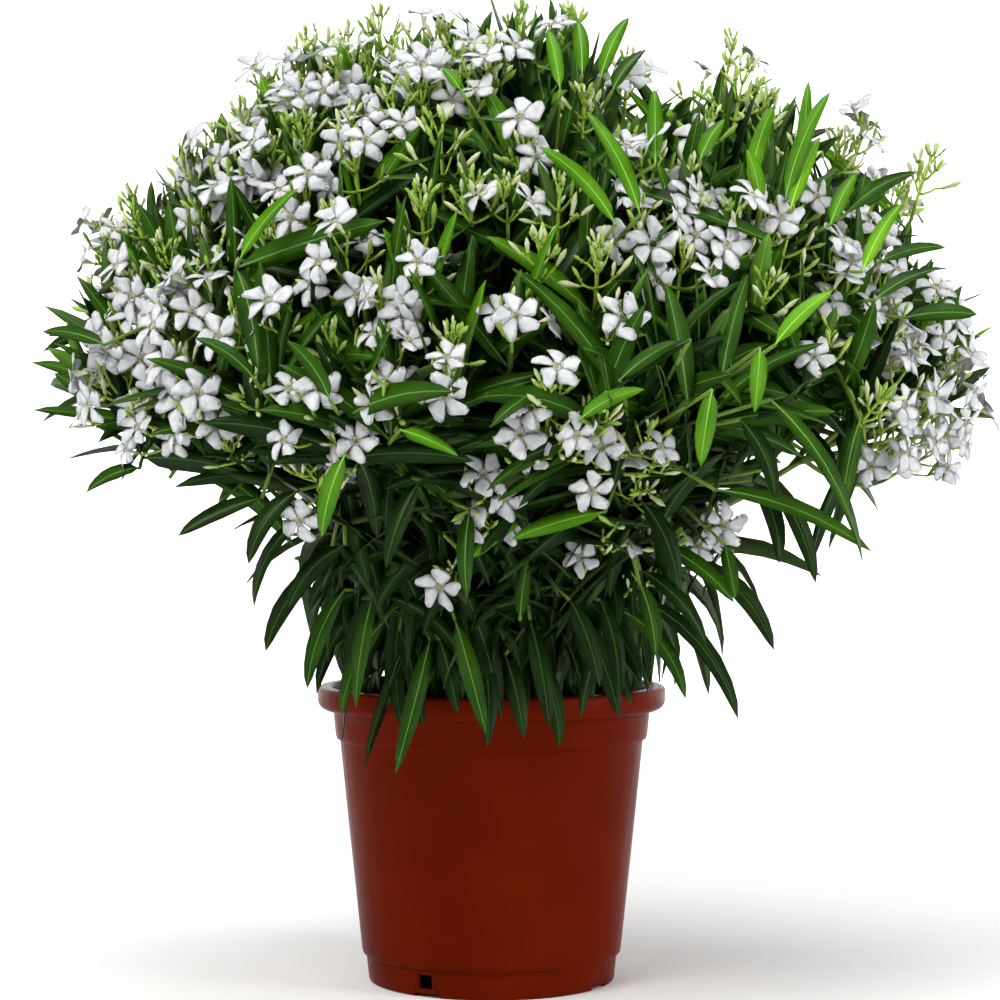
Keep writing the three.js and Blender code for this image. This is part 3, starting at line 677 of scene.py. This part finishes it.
def blade_points(batch, rows, faces, widths):
    """Thin closed blades: folded up from a raised midrib, twisted and waved along their edges."""
    t = LEAF_ROWS
    count = len(widths)
    line = curved(rows, t)
    sideways = unit(np.cross(rows[1], faces))[:, None, :]
    line = line + sideways * (normal(0, 0.07, count) * rows[2])[:, None, None] * t[:, None] ** 2
    axes = unit(np.gradient(line, axis=1))
    across_leaf = unit(np.cross(axes, faces[:, None, :]))
    up = np.cross(across_leaf, axes)
    twist = (normal(0, 0.35, count)[:, None] * t)[..., None]
    c, s = np.cos(twist), np.sin(twist)
    across_leaf, up = across_leaf * c + up * s, up * c - across_leaf * s
    outline = np.sin(np.pi * t**0.86) ** 0.6
    outline[0], outline[1], outline[-1] = 0.09, 0.14, 0.012
    half = widths[:, None] / 2 * outline
    fold = uniform(0.10, 0.34, count)[:, None, None]
    wave = uniform(-0.08, 0.08, (count, len(t), 2))
    rib = np.minimum(half * 0.9, widths[:, None] * 0.036 * (1.2 - 0.9 * t))[..., None]
    half = half[..., None]
    thick = LEAF.thickness / 2
    raised = thick + 0.25 * (1 - t)[None, :, None]
    left = line - across_leaf * half + up * half * (fold + wave[..., :1])
    right = line + across_leaf * half + up * half * (fold + wave[..., 1:])
    rib, raised = across_leaf * rib, up * raised
    upper = [line - rib + raised, line + rib + raised]
    lower = [line + rib - raised * 1.6, line - rib - raised * 1.6]
    ring = np.stack([left, *upper, right, *lower], 2)
    rows_count, columns = len(t), 6
    quads = grid_faces(rows_count, columns).reshape(rows_count - 1, columns, 4)[:, :, ::-1]
    kinds = np.broadcast_to([0, 1, 0, 2, 1, 2], (rows_count - 1, columns))
    size = rows_count * columns
    start_cap = np.array([[0, 1, 2, 3], [0, 3, 4, 5]])
    end_cap = start_cap[:, ::-1] + (rows_count - 1) * columns
    one = np.concatenate([quads.reshape(-1, 4), start_cap, end_cap])
    one_kinds = np.concatenate([kinds.ravel(), [2, 2, 2, 2]])
    all_faces = (one[None] + (np.arange(count) * size)[:, None, None]).reshape(-1, 4)
    batch.add(ring, (all_faces, np.tile(one_kinds, count)))


# ---- blossom

PETAL, THROAT, FRINGE = 0, 1, 2
PETALS = 5
TEETH = 15
SPIKE = [[0, 1, 2], [1, 3, 2], [3, 0, 2], [1, 0, 3]]

# Each whorl of a flower head: its share of the stalk, its branches' length as a share of the
# head's radius, and their angle from the stalk.
PANICLE = [(0.3, 0.85, 64), (0.66, 0.7, 48), (1.0, 0.5, 28)]


def petal_template():
    """One obliquely cut petal as a thin lens, its foot at the throat and its tip outwards."""
    shares = np.array([0.0, 0.22, 0.48, 0.74, 0.92, 1.0])
    halves = np.array([2.2, 4.4, 6.9, 8.1, 6.9, 3.6])
    columns = np.array([-1.0, -0.4, 0.35, 1.0])
    u, v = shares[:, None], columns[None, :]
    half = halves[:, None]
    out = 2.6 + 17.6 * u + 2.3 * v * u**2 - 1.5 * v**2 * u**3
    aside = half * v + 2.6 * u**1.5
    lift = 2.4 * np.sin(np.pi * 0.7 * u) + 0.2 * half * v - 0.035 * half * v**2 * 6 * u**2
    points = np.stack([out, aside, lift], -1)
    under = points - np.array([0, 0, 0.45]) * (1 - (np.abs(v)[..., None] > 0.9))
    rows, across_count = len(shares), len(columns)
    top = grid_faces(rows, across_count, False)
    lower = np.arange(rows * across_count).reshape(rows, across_count)
    inner = np.arange((rows - 2) * (across_count - 2)).reshape(rows - 2, across_count - 2)
    lower[1:-1, 1:-1] = rows * across_count + inner
    below = lower.ravel()[top][:, ::-1]
    return np.concatenate([points.reshape(-1, 3), under[1:-1, 1:-1].reshape(-1, 3)]), top, below


def flower_template():
    """Points, faces and kinds of a flower that faces +Z, with the throat's mouth at the origin."""
    batch = Batch()
    petal, top, below = petal_template()
    for angle in full_turn(PETALS):
        batch.add(spun(petal, angle), (top, PETAL), (below, PETAL))
    depth = [-15.0, -11.0, -6.5, -2.5, 0.6, 0.2, -3.0, -8.0]
    radius = [1.2, 1.4, 2.3, 3.3, 3.8, 3.2, 2.4, 0.4]
    batch.add(revolved(radius, depth, 10), (grid_faces(len(depth), 10), THROAT))
    for i in range(TEETH):
        long = i % 3 == 1
        out, side = spun(np.eye(3)[:2], i * 2 * np.pi / TEETH + 0.1)
        foot = out * 2.9
        tip = out * (3.9 + 0.9 * long) + UP * (3.0 + 1.2 * long)
        batch.add([foot - side * 0.8, foot + side * 0.8, tip, foot + out * 0.4], (SPIKE, FRINGE))
    return batch


def bud_points(length, radius):
    """A slender twisted bud: rings of a spindle along +Z from its foot."""
    shares = np.array([0, 0.3, 0.6, 0.82, 1.0])
    radii = np.array([0.5, 0.72, 1.0, 0.66, 0.06]) * radius
    return revolved(radii, shares * length, 5, 1.1 * shares)


class Blossom:
    """Everything that the flower heads are made of, collected by kind."""

    def __init__(self):
        self.flowers = Batch()
        self.buds = Batch()
        self.stalks = Batch()
        self.template = flower_template()

    def stalk(self, begin, end, lean_to, radius):
        length = norm(end - begin)
        bend = (begin + end) / 2 - lean_to * length * 0.16
        points = bezier([begin, bend, end], 4)
        tube(self.stalks, points, np.linspace(radius, radius * 0.8, 4), 4)

    def calyx(self, foot, face, size=1.0):
        """Five pointed sepals round the foot of a tube."""
        side, over = across(face)
        root = foot - face * 0.8
        for angle in full_turn(5):
            out = side * math.cos(angle) + over * math.sin(angle)
            edge = np.cross(face, out)
            points = [
                root + (out * 0.4 - edge * 0.9) * size,
                root + (out * 0.4 + edge * 0.9) * size,
                root + (face * 3.2 + out * 2.3) * size,
                root + (face * 1.2 + out * 1.9) * size,
            ]
            self.stalks.add(points, (SPIKE, 1))

    def flower(self, branch, centre, face, size):
        """An open flower that faces its own way, its petals bent a little, on its calyx and stalk."""
        spin = uniform(0, 2 * np.pi)
        local = np.concatenate(self.template.points)
        reach = np.hypot(local[:, 0], local[:, 1])
        angle = np.arctan2(local[:, 1], local[:, 0])
        phase = uniform(0, 2 * np.pi, 2)
        local[:, 2] += reach**2 / 160 * np.sin(2 * angle + phase[0])
        local[:, 2] += reach**2 / 200 * uniform(-1.6, 1.2)
        local[:, 2] += reach**2 / 260 * np.sin(5 * angle + phase[1])
        faces, kinds = self.template.faces, self.template.kinds
        groups = [group for corners in (3, 4) for group in zip(faces[corners], kinds[corners])]
        self.flowers.add(centre + (local * size) @ facing(face, spin), *groups)
        foot = centre - face * 15 * size
        self.calyx(foot, face)
        self.stalk(branch, foot, face, 0.95)

    def bud(self, branch, tip, face, length):
        foot = tip - face * length
        rings = bud_points(length, uniform(1.2, 1.6) * (0.5 + length / 16))
        kind = int(random.random() < 0.5)
        points = foot + rings.reshape(-1, 3) @ facing(face)
        self.buds.add(points, (grid_faces(*rings.shape[:2]), kind))
        self.calyx(foot, face, 0.8)
        self.stalk(branch, foot, face, 0.8)

    def head(self, base, axis, outward, flowers, buds, radius):
        """A panicle: whorls of branches up a stalk, each branch ending in three short stalks."""
        height = 12 + radius * 1.15
        top = base + axis * height + outward * 4
        stalk = bezier([base, base + axis * height * 0.6, top], 6)
        tube(self.stalks, stalk, [1.6, 1.5, 1.4, 1.3, 1.2, 1], 5)
        spin = uniform(0, 120)
        ends = []
        for level, (share, length, angle) in enumerate(PANICLE):
            joint = base + (top - base) * share
            for arm in range(3):
                way = lean(axis, angle + normal(0, 8), spin + 60 * level + 120 * arm)
                way = unit(way + outward * 0.2)
                end = joint + way * length * radius * uniform(0.8, 1.2)
                self.stalk(joint, end, axis, 1.1)
                turn = uniform(0, 120)
                for k in range(3):
                    fork = unit(lean(way, 36, turn + 120 * k) + UP * 0.25)
                    ends.append((end, fork, level))
        scores = [fork.dot(outward) - 0.25 * level + normal(0, 0.3) for _, fork, level in ends]
        mouths, left = [], []
        for i in np.argsort(scores)[::-1]:
            end, fork, level = ends[i]
            size = uniform(0.66, 0.88)
            face = unit(fork * 0.8 + outward * 0.55 + normal(0, 0.34, 3))
            mouth = end + fork * 4 + face * 16 * size
            apart = all(norm(mouth - other) > 25 for other in mouths)
            if len(mouths) < flowers - (flowers > 3) and apart:
                mouths.append(mouth)
                self.flower(end, mouth, face, size)
            else:
                left.append((end, fork, level))
        random.shuffle(left)
        for end, fork, level in left[:buds]:
            length = uniform(9, 19) * (1 - 0.2 * level)
            face = unit(fork + UP * 0.3)
            if all(norm(end + face * length - mouth) > 11 for mouth in mouths):
                self.bud(end, end + fork * uniform(2, 6) + face * length, face, length)


# ---- the crown


def sight(column, row):
    """The way that a pixel of the photo looks, for each unit of depth."""
    across_view, up = column - VIEW.centre, VIEW.horizon - row
    return np.array([across_view / VIEW.focal, 1.0, up / VIEW.focal])


def on_crown(column, row, inset):
    """Where a pixel's line of sight first comes within the leaves' reach, drawn in by an inset."""
    depths = np.linspace(-EYE[1] - CROWN.radius, -EYE[1] + 60, 200)
    points = EYE + sight(column, row) * depths[:, None]
    spare = spare_reach(points)
    found = np.nonzero(spare > inset)[0]
    return points[found[0] if len(found) else np.argmax(spare)]


YOUNG_BELOW_HEADS = 0.5
KNOTS = slice(4, 12)  # the points of a shoot that a twig may leave it from


def outward_from(point):
    return unit(point - HUB)


class Crown:
    """Grows the whole crown: shoots, leaves and blossom."""

    def __init__(self):
        self.masses = plan_masses()
        self.leaves = Leaves()
        self.blossom = Blossom()
        self.twigs = Batch()
        self.lines = []

    def grow(self):
        for mass in self.masses:
            for line in grow_shoots(mass, self.masses):
                self.add_shoot(line, mass)
        for head in HEADS:
            self.add_head(*head)
        for column, row, radius in BUD_SPRAYS:
            self.add_head(column, row, 0, radius)
        self.clothe_boughs()
        for *place, tone in LEAVES_IN_VIEW:
            hanging = place[3] > place[1] + IN_VIEW.hanging
            inset = IN_VIEW.hanging_inset if hanging else IN_VIEW.inset
            self.add_leaf_in_view(place[:2], place[2:], tone, IN_VIEW.droop, inset)
        for i, place in enumerate(LEAVES_OVER_RIM):
            # Low leaves over the rim are in painted shade, all but each fourth one, which stays green.
            tone = "dark" if i % OVER_RIM.green_each else "green"
            self.add_leaf_in_view(place[:2], place[2:], tone, OVER_RIM.droop, OVER_RIM.inset)
        self.add_back_heads()

    def add_shoot(self, line, mass):
        tube(self.twigs, line, np.linspace(SHOOT.foot_radius, SHOOT.tip_radius, len(line)), 7)
        low = mass.tier == "skirt"
        fewest, fullness = (2, 0.62) if low else (3, 1)
        count = max(fewest, int(length_of(line) * 0.66 / LEAF.whorl_gap * fullness))
        shares = np.linspace(0.97, 0.34, count)
        self.leaves.whorls(line, mass.grow, shares, 1.08 if low else 1.0)
        self.lines.append((line, mass))

    def clothe_boughs(self):
        """Old leaves along the boughs and the tops of the stems, deep inside the plant, in painted shade.
        """
        for bearing, *_ in STEMS.values():
            line = stem_points(bearing)
            self.leaves.whorls(line, TIERS["skirt"], np.linspace(0.97, 0.5, 5), 0.9, "dark")
        for mass in self.masses:
            if mass.bough is not None:
                shares = np.linspace(0.95, 0.15, max(3, int(length_of(mass.bough) / 26)))
                self.leaves.whorls(mass.bough, TIERS["flank"], shares, 0.95, "dark")

    def add_head(self, column, row, flowers, radius):
        """A flowering shoot from the nearest shoot to a place in the photo's view."""
        site = on_crown(column, row, 10 + radius * 0.5)
        outward = unit(outward_from(site) + np.array([0, -0.6, 0.1]))
        high = float(np.clip((site[2] - 380) / 150, 0, 1))
        axis = unit(outward * within(high, 1.0, 0.45) + UP * within(high, 0.3, 0.9))
        base = site - axis * (8 + radius * 0.75) - outward * 14
        base[2] = min(base[2], CROWN.top - 50 - 1.45 * radius)
        line, mass, length = self.twig_to(base, axis)
        grow = Values(**{**vars(mass.grow), "young": YOUNG_BELOW_HEADS})
        count = max(1, int(length * 0.5 / LEAF.whorl_gap))
        self.leaves.whorls(line, grow, np.linspace(0.8, 0.4, count), 0.9)
        buds = 9 + flowers if flowers else 12 + radius // 2
        self.blossom.head(base, axis, outward, flowers, buds, radius)

    def knots(self):
        """The places that a new twig can leave the shoots from, and the mass of each."""
        points = np.concatenate([line[KNOTS] for line, _ in self.lines])
        return points, [mass for line, mass in self.lines for _ in line[KNOTS]]

    def leafy_twig(self, root):
        """A twig from the nearest shoot to a place, with leaves of its own if it is long."""
        points, owners = self.knots()
        best = int(np.argmin(norm(points - root, axis=1)))
        begin = points[best]
        reach = norm(root - begin)
        bend = (begin + root) / 2 + outward_from(begin) * reach * 0.06
        line = bezier([begin, bend, root], 8)
        tube(self.twigs, line, np.linspace(1.9, 1.3, len(line)), 6)
        if reach > 40:
            shares = np.linspace(0.72, 0.3, 1 + int(reach / 40))
            # Twigs low down carry leaves in painted shade.
            tone = "dark" if root[2] < LOW else "green"
            self.leaves.whorls(line, owners[best].grow, shares, 0.85, tone)

    def twig_to(self, base, axis):
        """A new twig from the nearest shoot that lies behind a place."""
        points, owners = self.knots()
        ahead = (points - base) @ axis
        cost = norm(points - base, axis=1) + 2.0 * np.maximum(ahead + 25, 0)
        best = int(np.argmin(cost))
        begin, mass = points[best], owners[best]
        length = norm(base - begin)
        line = bezier([begin, base - axis * length * 0.45, base], 12)
        tube(self.twigs, line, np.linspace(2.0, 1.5, len(line)), 6)
        return line, mass, length

    def add_leaf_in_view(self, begin, end, tone, droop, inset):
        """A leaf whose root and tip lie on two of the view's lines of sight."""
        root = on_crown(*begin, inset)
        self.leafy_twig(root)
        rising = end[1] < begin[1]
        follow = FOLLOW if rising else 0.0
        behind = min(max(on_crown(*end, inset)[1] - root[1], 0.0), DEEPEST)
        tip = EYE + sight(*end) * (root[1] - FORWARD + follow * behind - EYE[1])
        reach = tip - root
        half_turn = ARC * droop / 2
        length = norm(reach) * half_turn / math.sin(half_turn)
        rise = min(math.asin(reach[2] / norm(reach)) + half_turn, 1.5)
        way = unit(reach * [1, 1, 0]) * math.cos(rise) + UP * math.sin(rise)
        face = unit(UP * 0.8 + TO_VIEWER + 0.3 * outward_from(root))
        face = unit(face - way * face.dot(way))
        slim = uniform(0.66, 0.8) if rising else uniform(0.8, 0.95)
        width = LEAF.width * slim * min(1.15, 0.78 + 0.22 * length / LEAF.length)
        self.leaves.add(root, way, face, length, droop, tone, width, True)

    def add_back_heads(self):
        """The sides and the back flower by the rule instead of the view, with fewer heads."""
        for line, _ in self.lines:
            tip, axis = place_on(line, 0.98)
            outward = outward_from(tip)
            tip = tip - outward * max(0.0, BACK_DEPTH - float(spare_reach(tip)))
            if tip[2] < LOW or tip[1] < BACK_STARTS or random.random() > BACK_SHARE:
                continue
            flowers = int(random.integers(2, 6))
            self.blossom.head(tip, unit(axis + UP * 0.3), outward, flowers, 3 + flowers, 18 + 2 * flowers)


# ---- woody parts


def bark_relief(rows, sides, scar_gap, length):
    """Radii of a bark surface: shallow ridges along it, leaf scars round it and fine grain."""
    angle = full_turn(sides)
    along = np.linspace(0, length, rows)[:, None]
    ridges = 0.03 * np.sin(5 * angle + 0.03 * along) + 0.02 * np.sin(9 * angle - 0.05 * along + 1)
    scars = 0.06 * np.exp(-(((along % scar_gap) - scar_gap / 2) ** 2) / 3.0)
    return 1 + ridges + scars + normal(0, 0.012, (rows, sides))


def make_stems():
    batch = Batch()
    rows, sides = 90, 22
    share = np.linspace(0, 1, rows)
    radii = within(share, STEM.foot_radius, STEM.tip_radius)
    radii = radii + (STEM.flare - STEM.foot_radius) * np.exp(-share * 12)
    for bearing, *_ in STEMS.values():
        relief = bark_relief(rows, sides, 23, 100)
        tube(batch, stem_points(bearing, rows), radii[:, None] * relief, sides)
    nodes = [f"stem_{name}" for name in STEMS]
    bark = material("bark", ((0.085, 0.066, 0.045), (0.21, 0.175, 0.125)), 130, 0.85, 0.7, 900)
    batch.build("stems_bark", [bark], "bark", nodes)


def make_boughs(masses):
    batch = Batch()
    sides = 14
    for points in [mass.bough for mass in masses if mass.bough is not None]:
        radii = np.linspace(BOUGH.foot_radius * 1.08, BOUGH.tip_radius, len(points))
        relief = bark_relief(len(points), sides, 19, length_of(points))
        tube(batch, points, radii[:, None] * relief, sides)
    nodes = [f"bough_{tier}_{name}" for name in STEMS for tier in ("crown", "shoulder", "flank")]
    bark = material("young_bark", ((0.09, 0.105, 0.05), (0.20, 0.20, 0.115)), 90, 0.75, 0.5, 900)
    batch.build("boughs_bark", [bark], "bark", nodes)


# ---- pot and soil


DRAINS = [(2, 6.4, 17.7, 11.5), (4, -1, 2.6, 22)]  # slots and notches: number, low, high and width
DRAIN_BEARING = 239.4
FOOT_WALL = (86, 112)  # radii that the openings are cut between
POT_SIDES = 144
WALL = 2.5
WALL_FOOT = (103.8, 25.5)  # radius and height at the lower end of the straight wall
WALL_HEAD = (121.2, 189.5)


def arc(centre, radius, start, end, count):
    angles = np.radians(np.linspace(start, end, count))
    return [(centre[0] + radius * math.cos(a), centre[1] + radius * math.sin(a)) for a in angles]


def pot_profile():
    """The pot's wall from the middle of its underside, up the outside and down the inside."""
    rim, top = RIM_RADIUS, POT_TOP
    lip_foot = top - 19
    (foot_radius, foot_height), (head_radius, head_height) = WALL_FOOT, WALL_HEAD
    outside = [
        (0, 0),
        (70, 0),
        (96.2, 0),
        *arc((96.2, 2.2), 2.2, -70, -10, 4),
        (100.2, 19.2),
        *arc((101.6, 20.4), 1.4, 200, 120, 4),
        (103.2, 22.6),
        WALL_FOOT,
        (112.6, 108),
        WALL_HEAD,
        *arc((123.0, 191.0), 1.8, 190, 110, 4),
        (124.2, 193.6),
        (125.0, 196.5),
        (126.0, 206),
        (126.8, lip_foot + 1.4),
        *arc((rim - 8, lip_foot + 8.4), 8, 265, 355, 8),
        *arc((rim - 3.4, top - 3.4), 3.4, 0, 90, 6),
        *arc((rim - 9.5, top - 2.6), 2.6, 90, 170, 5),
    ]
    inside = [(126.0 - WALL, 212), (125.0 - WALL, 198), (head_radius - WALL, 190)]
    ridges = []
    for z in np.arange(184, 40, -4.0):
        rise = (head_radius - foot_radius) * (z - foot_height) / (head_height - foot_height)
        radius = foot_radius + rise - WALL
        ridges.append((radius + (0.35 if int(z / 4) % 2 else 0.0), z))
    foot = [(103.0 - WALL, 25), (98.2 - WALL, 6), (0, 6)]
    return outside + inside + ridges + foot


def make_pot():
    """The turned wall, closed in the middle, with its drain slots and notches cut out."""
    profile = np.array(pot_profile())
    rings = revolved(*profile[1:-1].T, POT_SIDES)
    points = np.concatenate([rings.reshape(-1, 3), [[0, 0, 0], [0, 0, profile[-1, 1]]]])
    batch = Batch()
    batch.add(points, *closed_faces(len(rings), POT_SIDES))
    pot = batch.build("pot_moulding", [pot_material()], "pot_plastic", ["pot"])
    for count, low, high, width in DRAINS:
        for i in range(count):
            cut_box(pot, DRAIN_BEARING + i * 360 / count, low, high, width)


def cut_box(piece, bearing, low, high, width):
    """Cuts a box-shaped opening through the pot's foot."""
    corners = [(x, y, z) for x in FOOT_WALL for y in (-width / 2, width / 2) for z in (low, high)]
    faces = [(0, 1, 3, 2), (4, 6, 7, 5), (0, 4, 5, 1), (2, 3, 7, 6), (0, 2, 6, 4), (1, 5, 7, 3)]
    batch = Batch()
    batch.add(corners, (faces, 0))
    cutter = put_in_scene("cutter", batch.mesh("cutter", smooth=False))
    cutter.rotation_euler[2] = math.radians(bearing)
    bpy.context.view_layer.update()
    cut = piece.modifiers.new("cut", "BOOLEAN")
    cut.object = cutter
    cut.operation = "DIFFERENCE"
    cut.solver = "EXACT"
    with bpy.context.temp_override(object=piece, active_object=piece):
        bpy.ops.object.modifier_apply(modifier="cut")
    bpy.data.objects.remove(cutter)


def pot_material():
    """Satin red-brown plastic with the faint upright waves of its mould and a fine grain."""
    tones = ((0.082, 0.0050, 0.0002), (0.110, 0.0074, 0.0004))
    made = material("pot_plastic", tones, 9, 0.3, specular=0.018)
    nodes, links = made.node_tree.nodes, made.node_tree.links
    place = nodes["Texture Coordinate"].outputs["Object"]
    stretch = nodes.new("ShaderNodeMapping")
    stretch.inputs["Scale"].default_value = (1.0, 1.0, 0.12)
    links.new(place, stretch.inputs["Vector"])
    both = nodes.new("ShaderNodeMath")
    both.operation = "MULTIPLY_ADD"
    both.inputs[1].default_value = 0.08
    links.new(add_noise(made, place, 900, 2), both.inputs[0])
    links.new(add_noise(made, stretch.outputs["Vector"], 55, 2), both.inputs[2])
    add_bump(made, both.outputs["Value"], 0.35, 0.002)
    return made


CRUMBS = 900
SOIL_RADIUS = 120.4


def make_soil():
    """Rough potting soil, heaped a little to the middle, with crumbs and bits of bark on it."""
    batch = Batch()
    rings, sides = 44, 120
    radius = np.linspace(0.5, SOIL_RADIUS, rings)
    height = np.interp(radius, [0, 70, 118, SOIL_RADIUS], [SOIL_TOP, SOIL_TOP, 196.5, 196.5])
    bumps = normal(0, 0.9, (rings, sides))
    bumps = (bumps + np.roll(bumps, 1, 1) + np.roll(bumps, 1, 0)) / 1.7
    bumps[-1] = 0
    surface = revolved(radius, height[:, None] - 1.2 + bumps, sides)
    under = surface[-1] * [0.96, 0.96, 1] - UP * 5
    points = np.concatenate([surface.reshape(-1, 3), under])
    batch.add(points, (grid_faces(rings + 1, sides), 0))
    j = np.arange(1, sides - 1)
    batch.add(surface[0], (np.stack([j, j + 1, 0 * j], -1), 0))
    for _ in range(CRUMBS):
        reach, bearing = 116 * math.sqrt(random.random()), uniform(0, 360)
        spot = polar(bearing, reach, np.interp(reach, radius, height) - 0.4)
        add_crumb(batch, spot, uniform(0.8, 3.2), int(random.random() < 0.16))
    soil = material("soil", ((0.010, 0.007, 0.005), (0.040, 0.026, 0.017)), 320, 0.95, 0.9, 600)
    chips = material("bark_chips", ((0.06, 0.034, 0.018), (0.13, 0.08, 0.045)), 260, 0.9, 0.5, 500)
    batch.build("soil_surface", [soil, chips], "soil", ["potting_soil"], smooth=False)


def add_crumb(batch, spot, size, kind):
    """A small irregular lump, or a flat chip of bark."""
    shape = np.array([1.0, 1.0, 0.75]) if kind == 0 else np.array([2.2, 1.1, 0.35])
    corners = np.array([[1, 0, 0], [0, 1, 0], [-1, 0, 0], [0, -1, 0], [0, 0, 1], [0, 0, -1]], float)
    corners = corners * shape * size * uniform(0.7, 1.2, (6, 1))
    faces = [[0, 1, 4], [1, 2, 4], [2, 3, 4], [3, 0, 4], [1, 0, 5], [2, 1, 5], [3, 2, 5], [0, 3, 5]]
    batch.add(spot + spun(corners, uniform(0, 2 * np.pi)), (faces, kind))


# ---- studio


FLOOR_RADIUS, FLOOR_BEND, WALL_TOP = 4200, 900, 2600
SENSOR = 36  # mm


def make_stage():
    """A pale floor that curves up into a low pale wall all round."""
    bend = arc((FLOOR_RADIUS, FLOOR_BEND), FLOOR_BEND, -90, 0, 12)
    profile = [(1500, 0), (FLOOR_RADIUS, 0), *bend, (FLOOR_RADIUS + FLOOR_BEND, WALL_TOP)]
    sides = 96
    rings = revolved(*np.array(profile).T, sides)
    j = np.arange(sides)
    middle = np.stack([0 * j + rings.size // 3, j, (j + 1) % sides], -1)
    batch = Batch()
    points = np.concatenate([rings.reshape(-1, 3), [[0, 0, 0]]])
    batch.add(points, (grid_faces(len(rings), sides)[:, ::-1], 0), (middle, 0))
    pale = material("floor", ((0.86, 0.86, 0.86), (0.88, 0.88, 0.88)), 1, 0.9)
    put_in_scene("studio_floor", batch.mesh("studio_floor", [pale]))


def area_light(name, place, target, size, power, colour=(1, 1, 1)):
    lamp = bpy.data.lights.new(name, "AREA")
    lamp.shape = "RECTANGLE"
    lamp.size, lamp.size_y = size
    lamp.energy = power
    lamp.color = colour
    made = put_in_scene(name, lamp)
    made.location = place
    point_at(made, target)


def point_at(thing, target):
    way = np.array(target) - np.array(thing.location)
    flat = math.hypot(way[0], way[1])
    thing.rotation_euler = (math.atan2(flat, -way[2]), 0, math.atan2(-way[0], way[1]))


def make_studio():
    make_stage()
    world = bpy.data.worlds.new("studio")
    bpy.context.scene.world = world
    world.use_nodes = True
    background = world.node_tree.nodes["Background"]
    background.inputs["Color"].default_value = (1, 1, 1, 1)
    background.inputs["Strength"].default_value = 0.27
    area_light("key", (-1.3, -1.9, 2.4), (0, 0, 0.45), (1.2, 1.2), 74, (1, 0.985, 0.96))
    area_light("fill", (2.2, -1.2, 0.9), (0, 0, 0.35), (0.8, 2.0), 42, (1, 0.98, 0.96))
    area_light("left_strip", (-1.9, -0.5, 0.6), (0, 0, 0.2), (0.35, 1.8), 5)
    area_light("top", (0.1, 0.2, 2.6), (0, 0, 0.5), (1.6, 1.6), 36)
    for side in (-1, 1):
        area_light(f"wall_{side + 1}", (1.8 * side, 2.0, 2.4), (2.2 * side, 5.0, 0.8), (1.5, 1.5), 150)
    bpy.context.scene.view_settings.view_transform = "Standard"


def make_camera():
    camera = bpy.data.cameras.new("photo_view")
    camera.sensor_width = SENSOR
    camera.lens = SENSOR * VIEW.focal / VIEW.size
    camera.clip_end = 50
    made = put_in_scene("photo_view", camera)
    made.location = EYE * MM
    tilt = math.atan((VIEW.size / 2 - VIEW.horizon) / VIEW.focal)
    made.rotation_euler = (math.pi / 2 - tilt, 0, 0)
    bpy.context.scene.camera = made


# ---- the scene

make_camera()
make_studio()
crown = Crown()
crown.grow()
make_stems()
make_boughs(crown.masses)
make_leaves(crown.leaves)

green_stem = material("green_twigs", ((0.06, 0.12, 0.012), (0.14, 0.23, 0.025)), 60, 0.5, 0.1, 700)
masses = [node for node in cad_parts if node.startswith("foliage_")]
crown.twigs.build("twigs", [green_stem], "foliage", masses)
petal = material("petals", ((0.41, 0.43, 0.45), (0.62, 0.63, 0.64)), 150, 0.6, 0.4, 420, 0.15)
throat = material("flower_throats", ((0.56, 0.62, 0.32), (0.72, 0.74, 0.58)), 160, 0.6)
fringe = material("flower_fringe", ((0.60, 0.61, 0.56), (0.70, 0.70, 0.67)), 120, 0.6)
crown.blossom.flowers.build("flowers", [petal, throat, fringe], "foliage")
cream_bud = material("cream_buds", ((0.42, 0.50, 0.20), (0.60, 0.63, 0.40)), 90, 0.5)
green_bud = material("green_buds", ((0.18, 0.33, 0.03), (0.34, 0.48, 0.09)), 90, 0.5)
crown.blossom.buds.build("buds", [cream_bud, green_bud], "foliage")
stalk = material("flower_stalks", ((0.24, 0.40, 0.03), (0.36, 0.52, 0.07)), 70, 0.5)
calyx = material("calyces", ((0.12, 0.25, 0.02), (0.24, 0.38, 0.04)), 70, 0.5)
crown.blossom.stalks.build("flower_stalks", [stalk, calyx], "foliage")
make_pot()
make_soil()
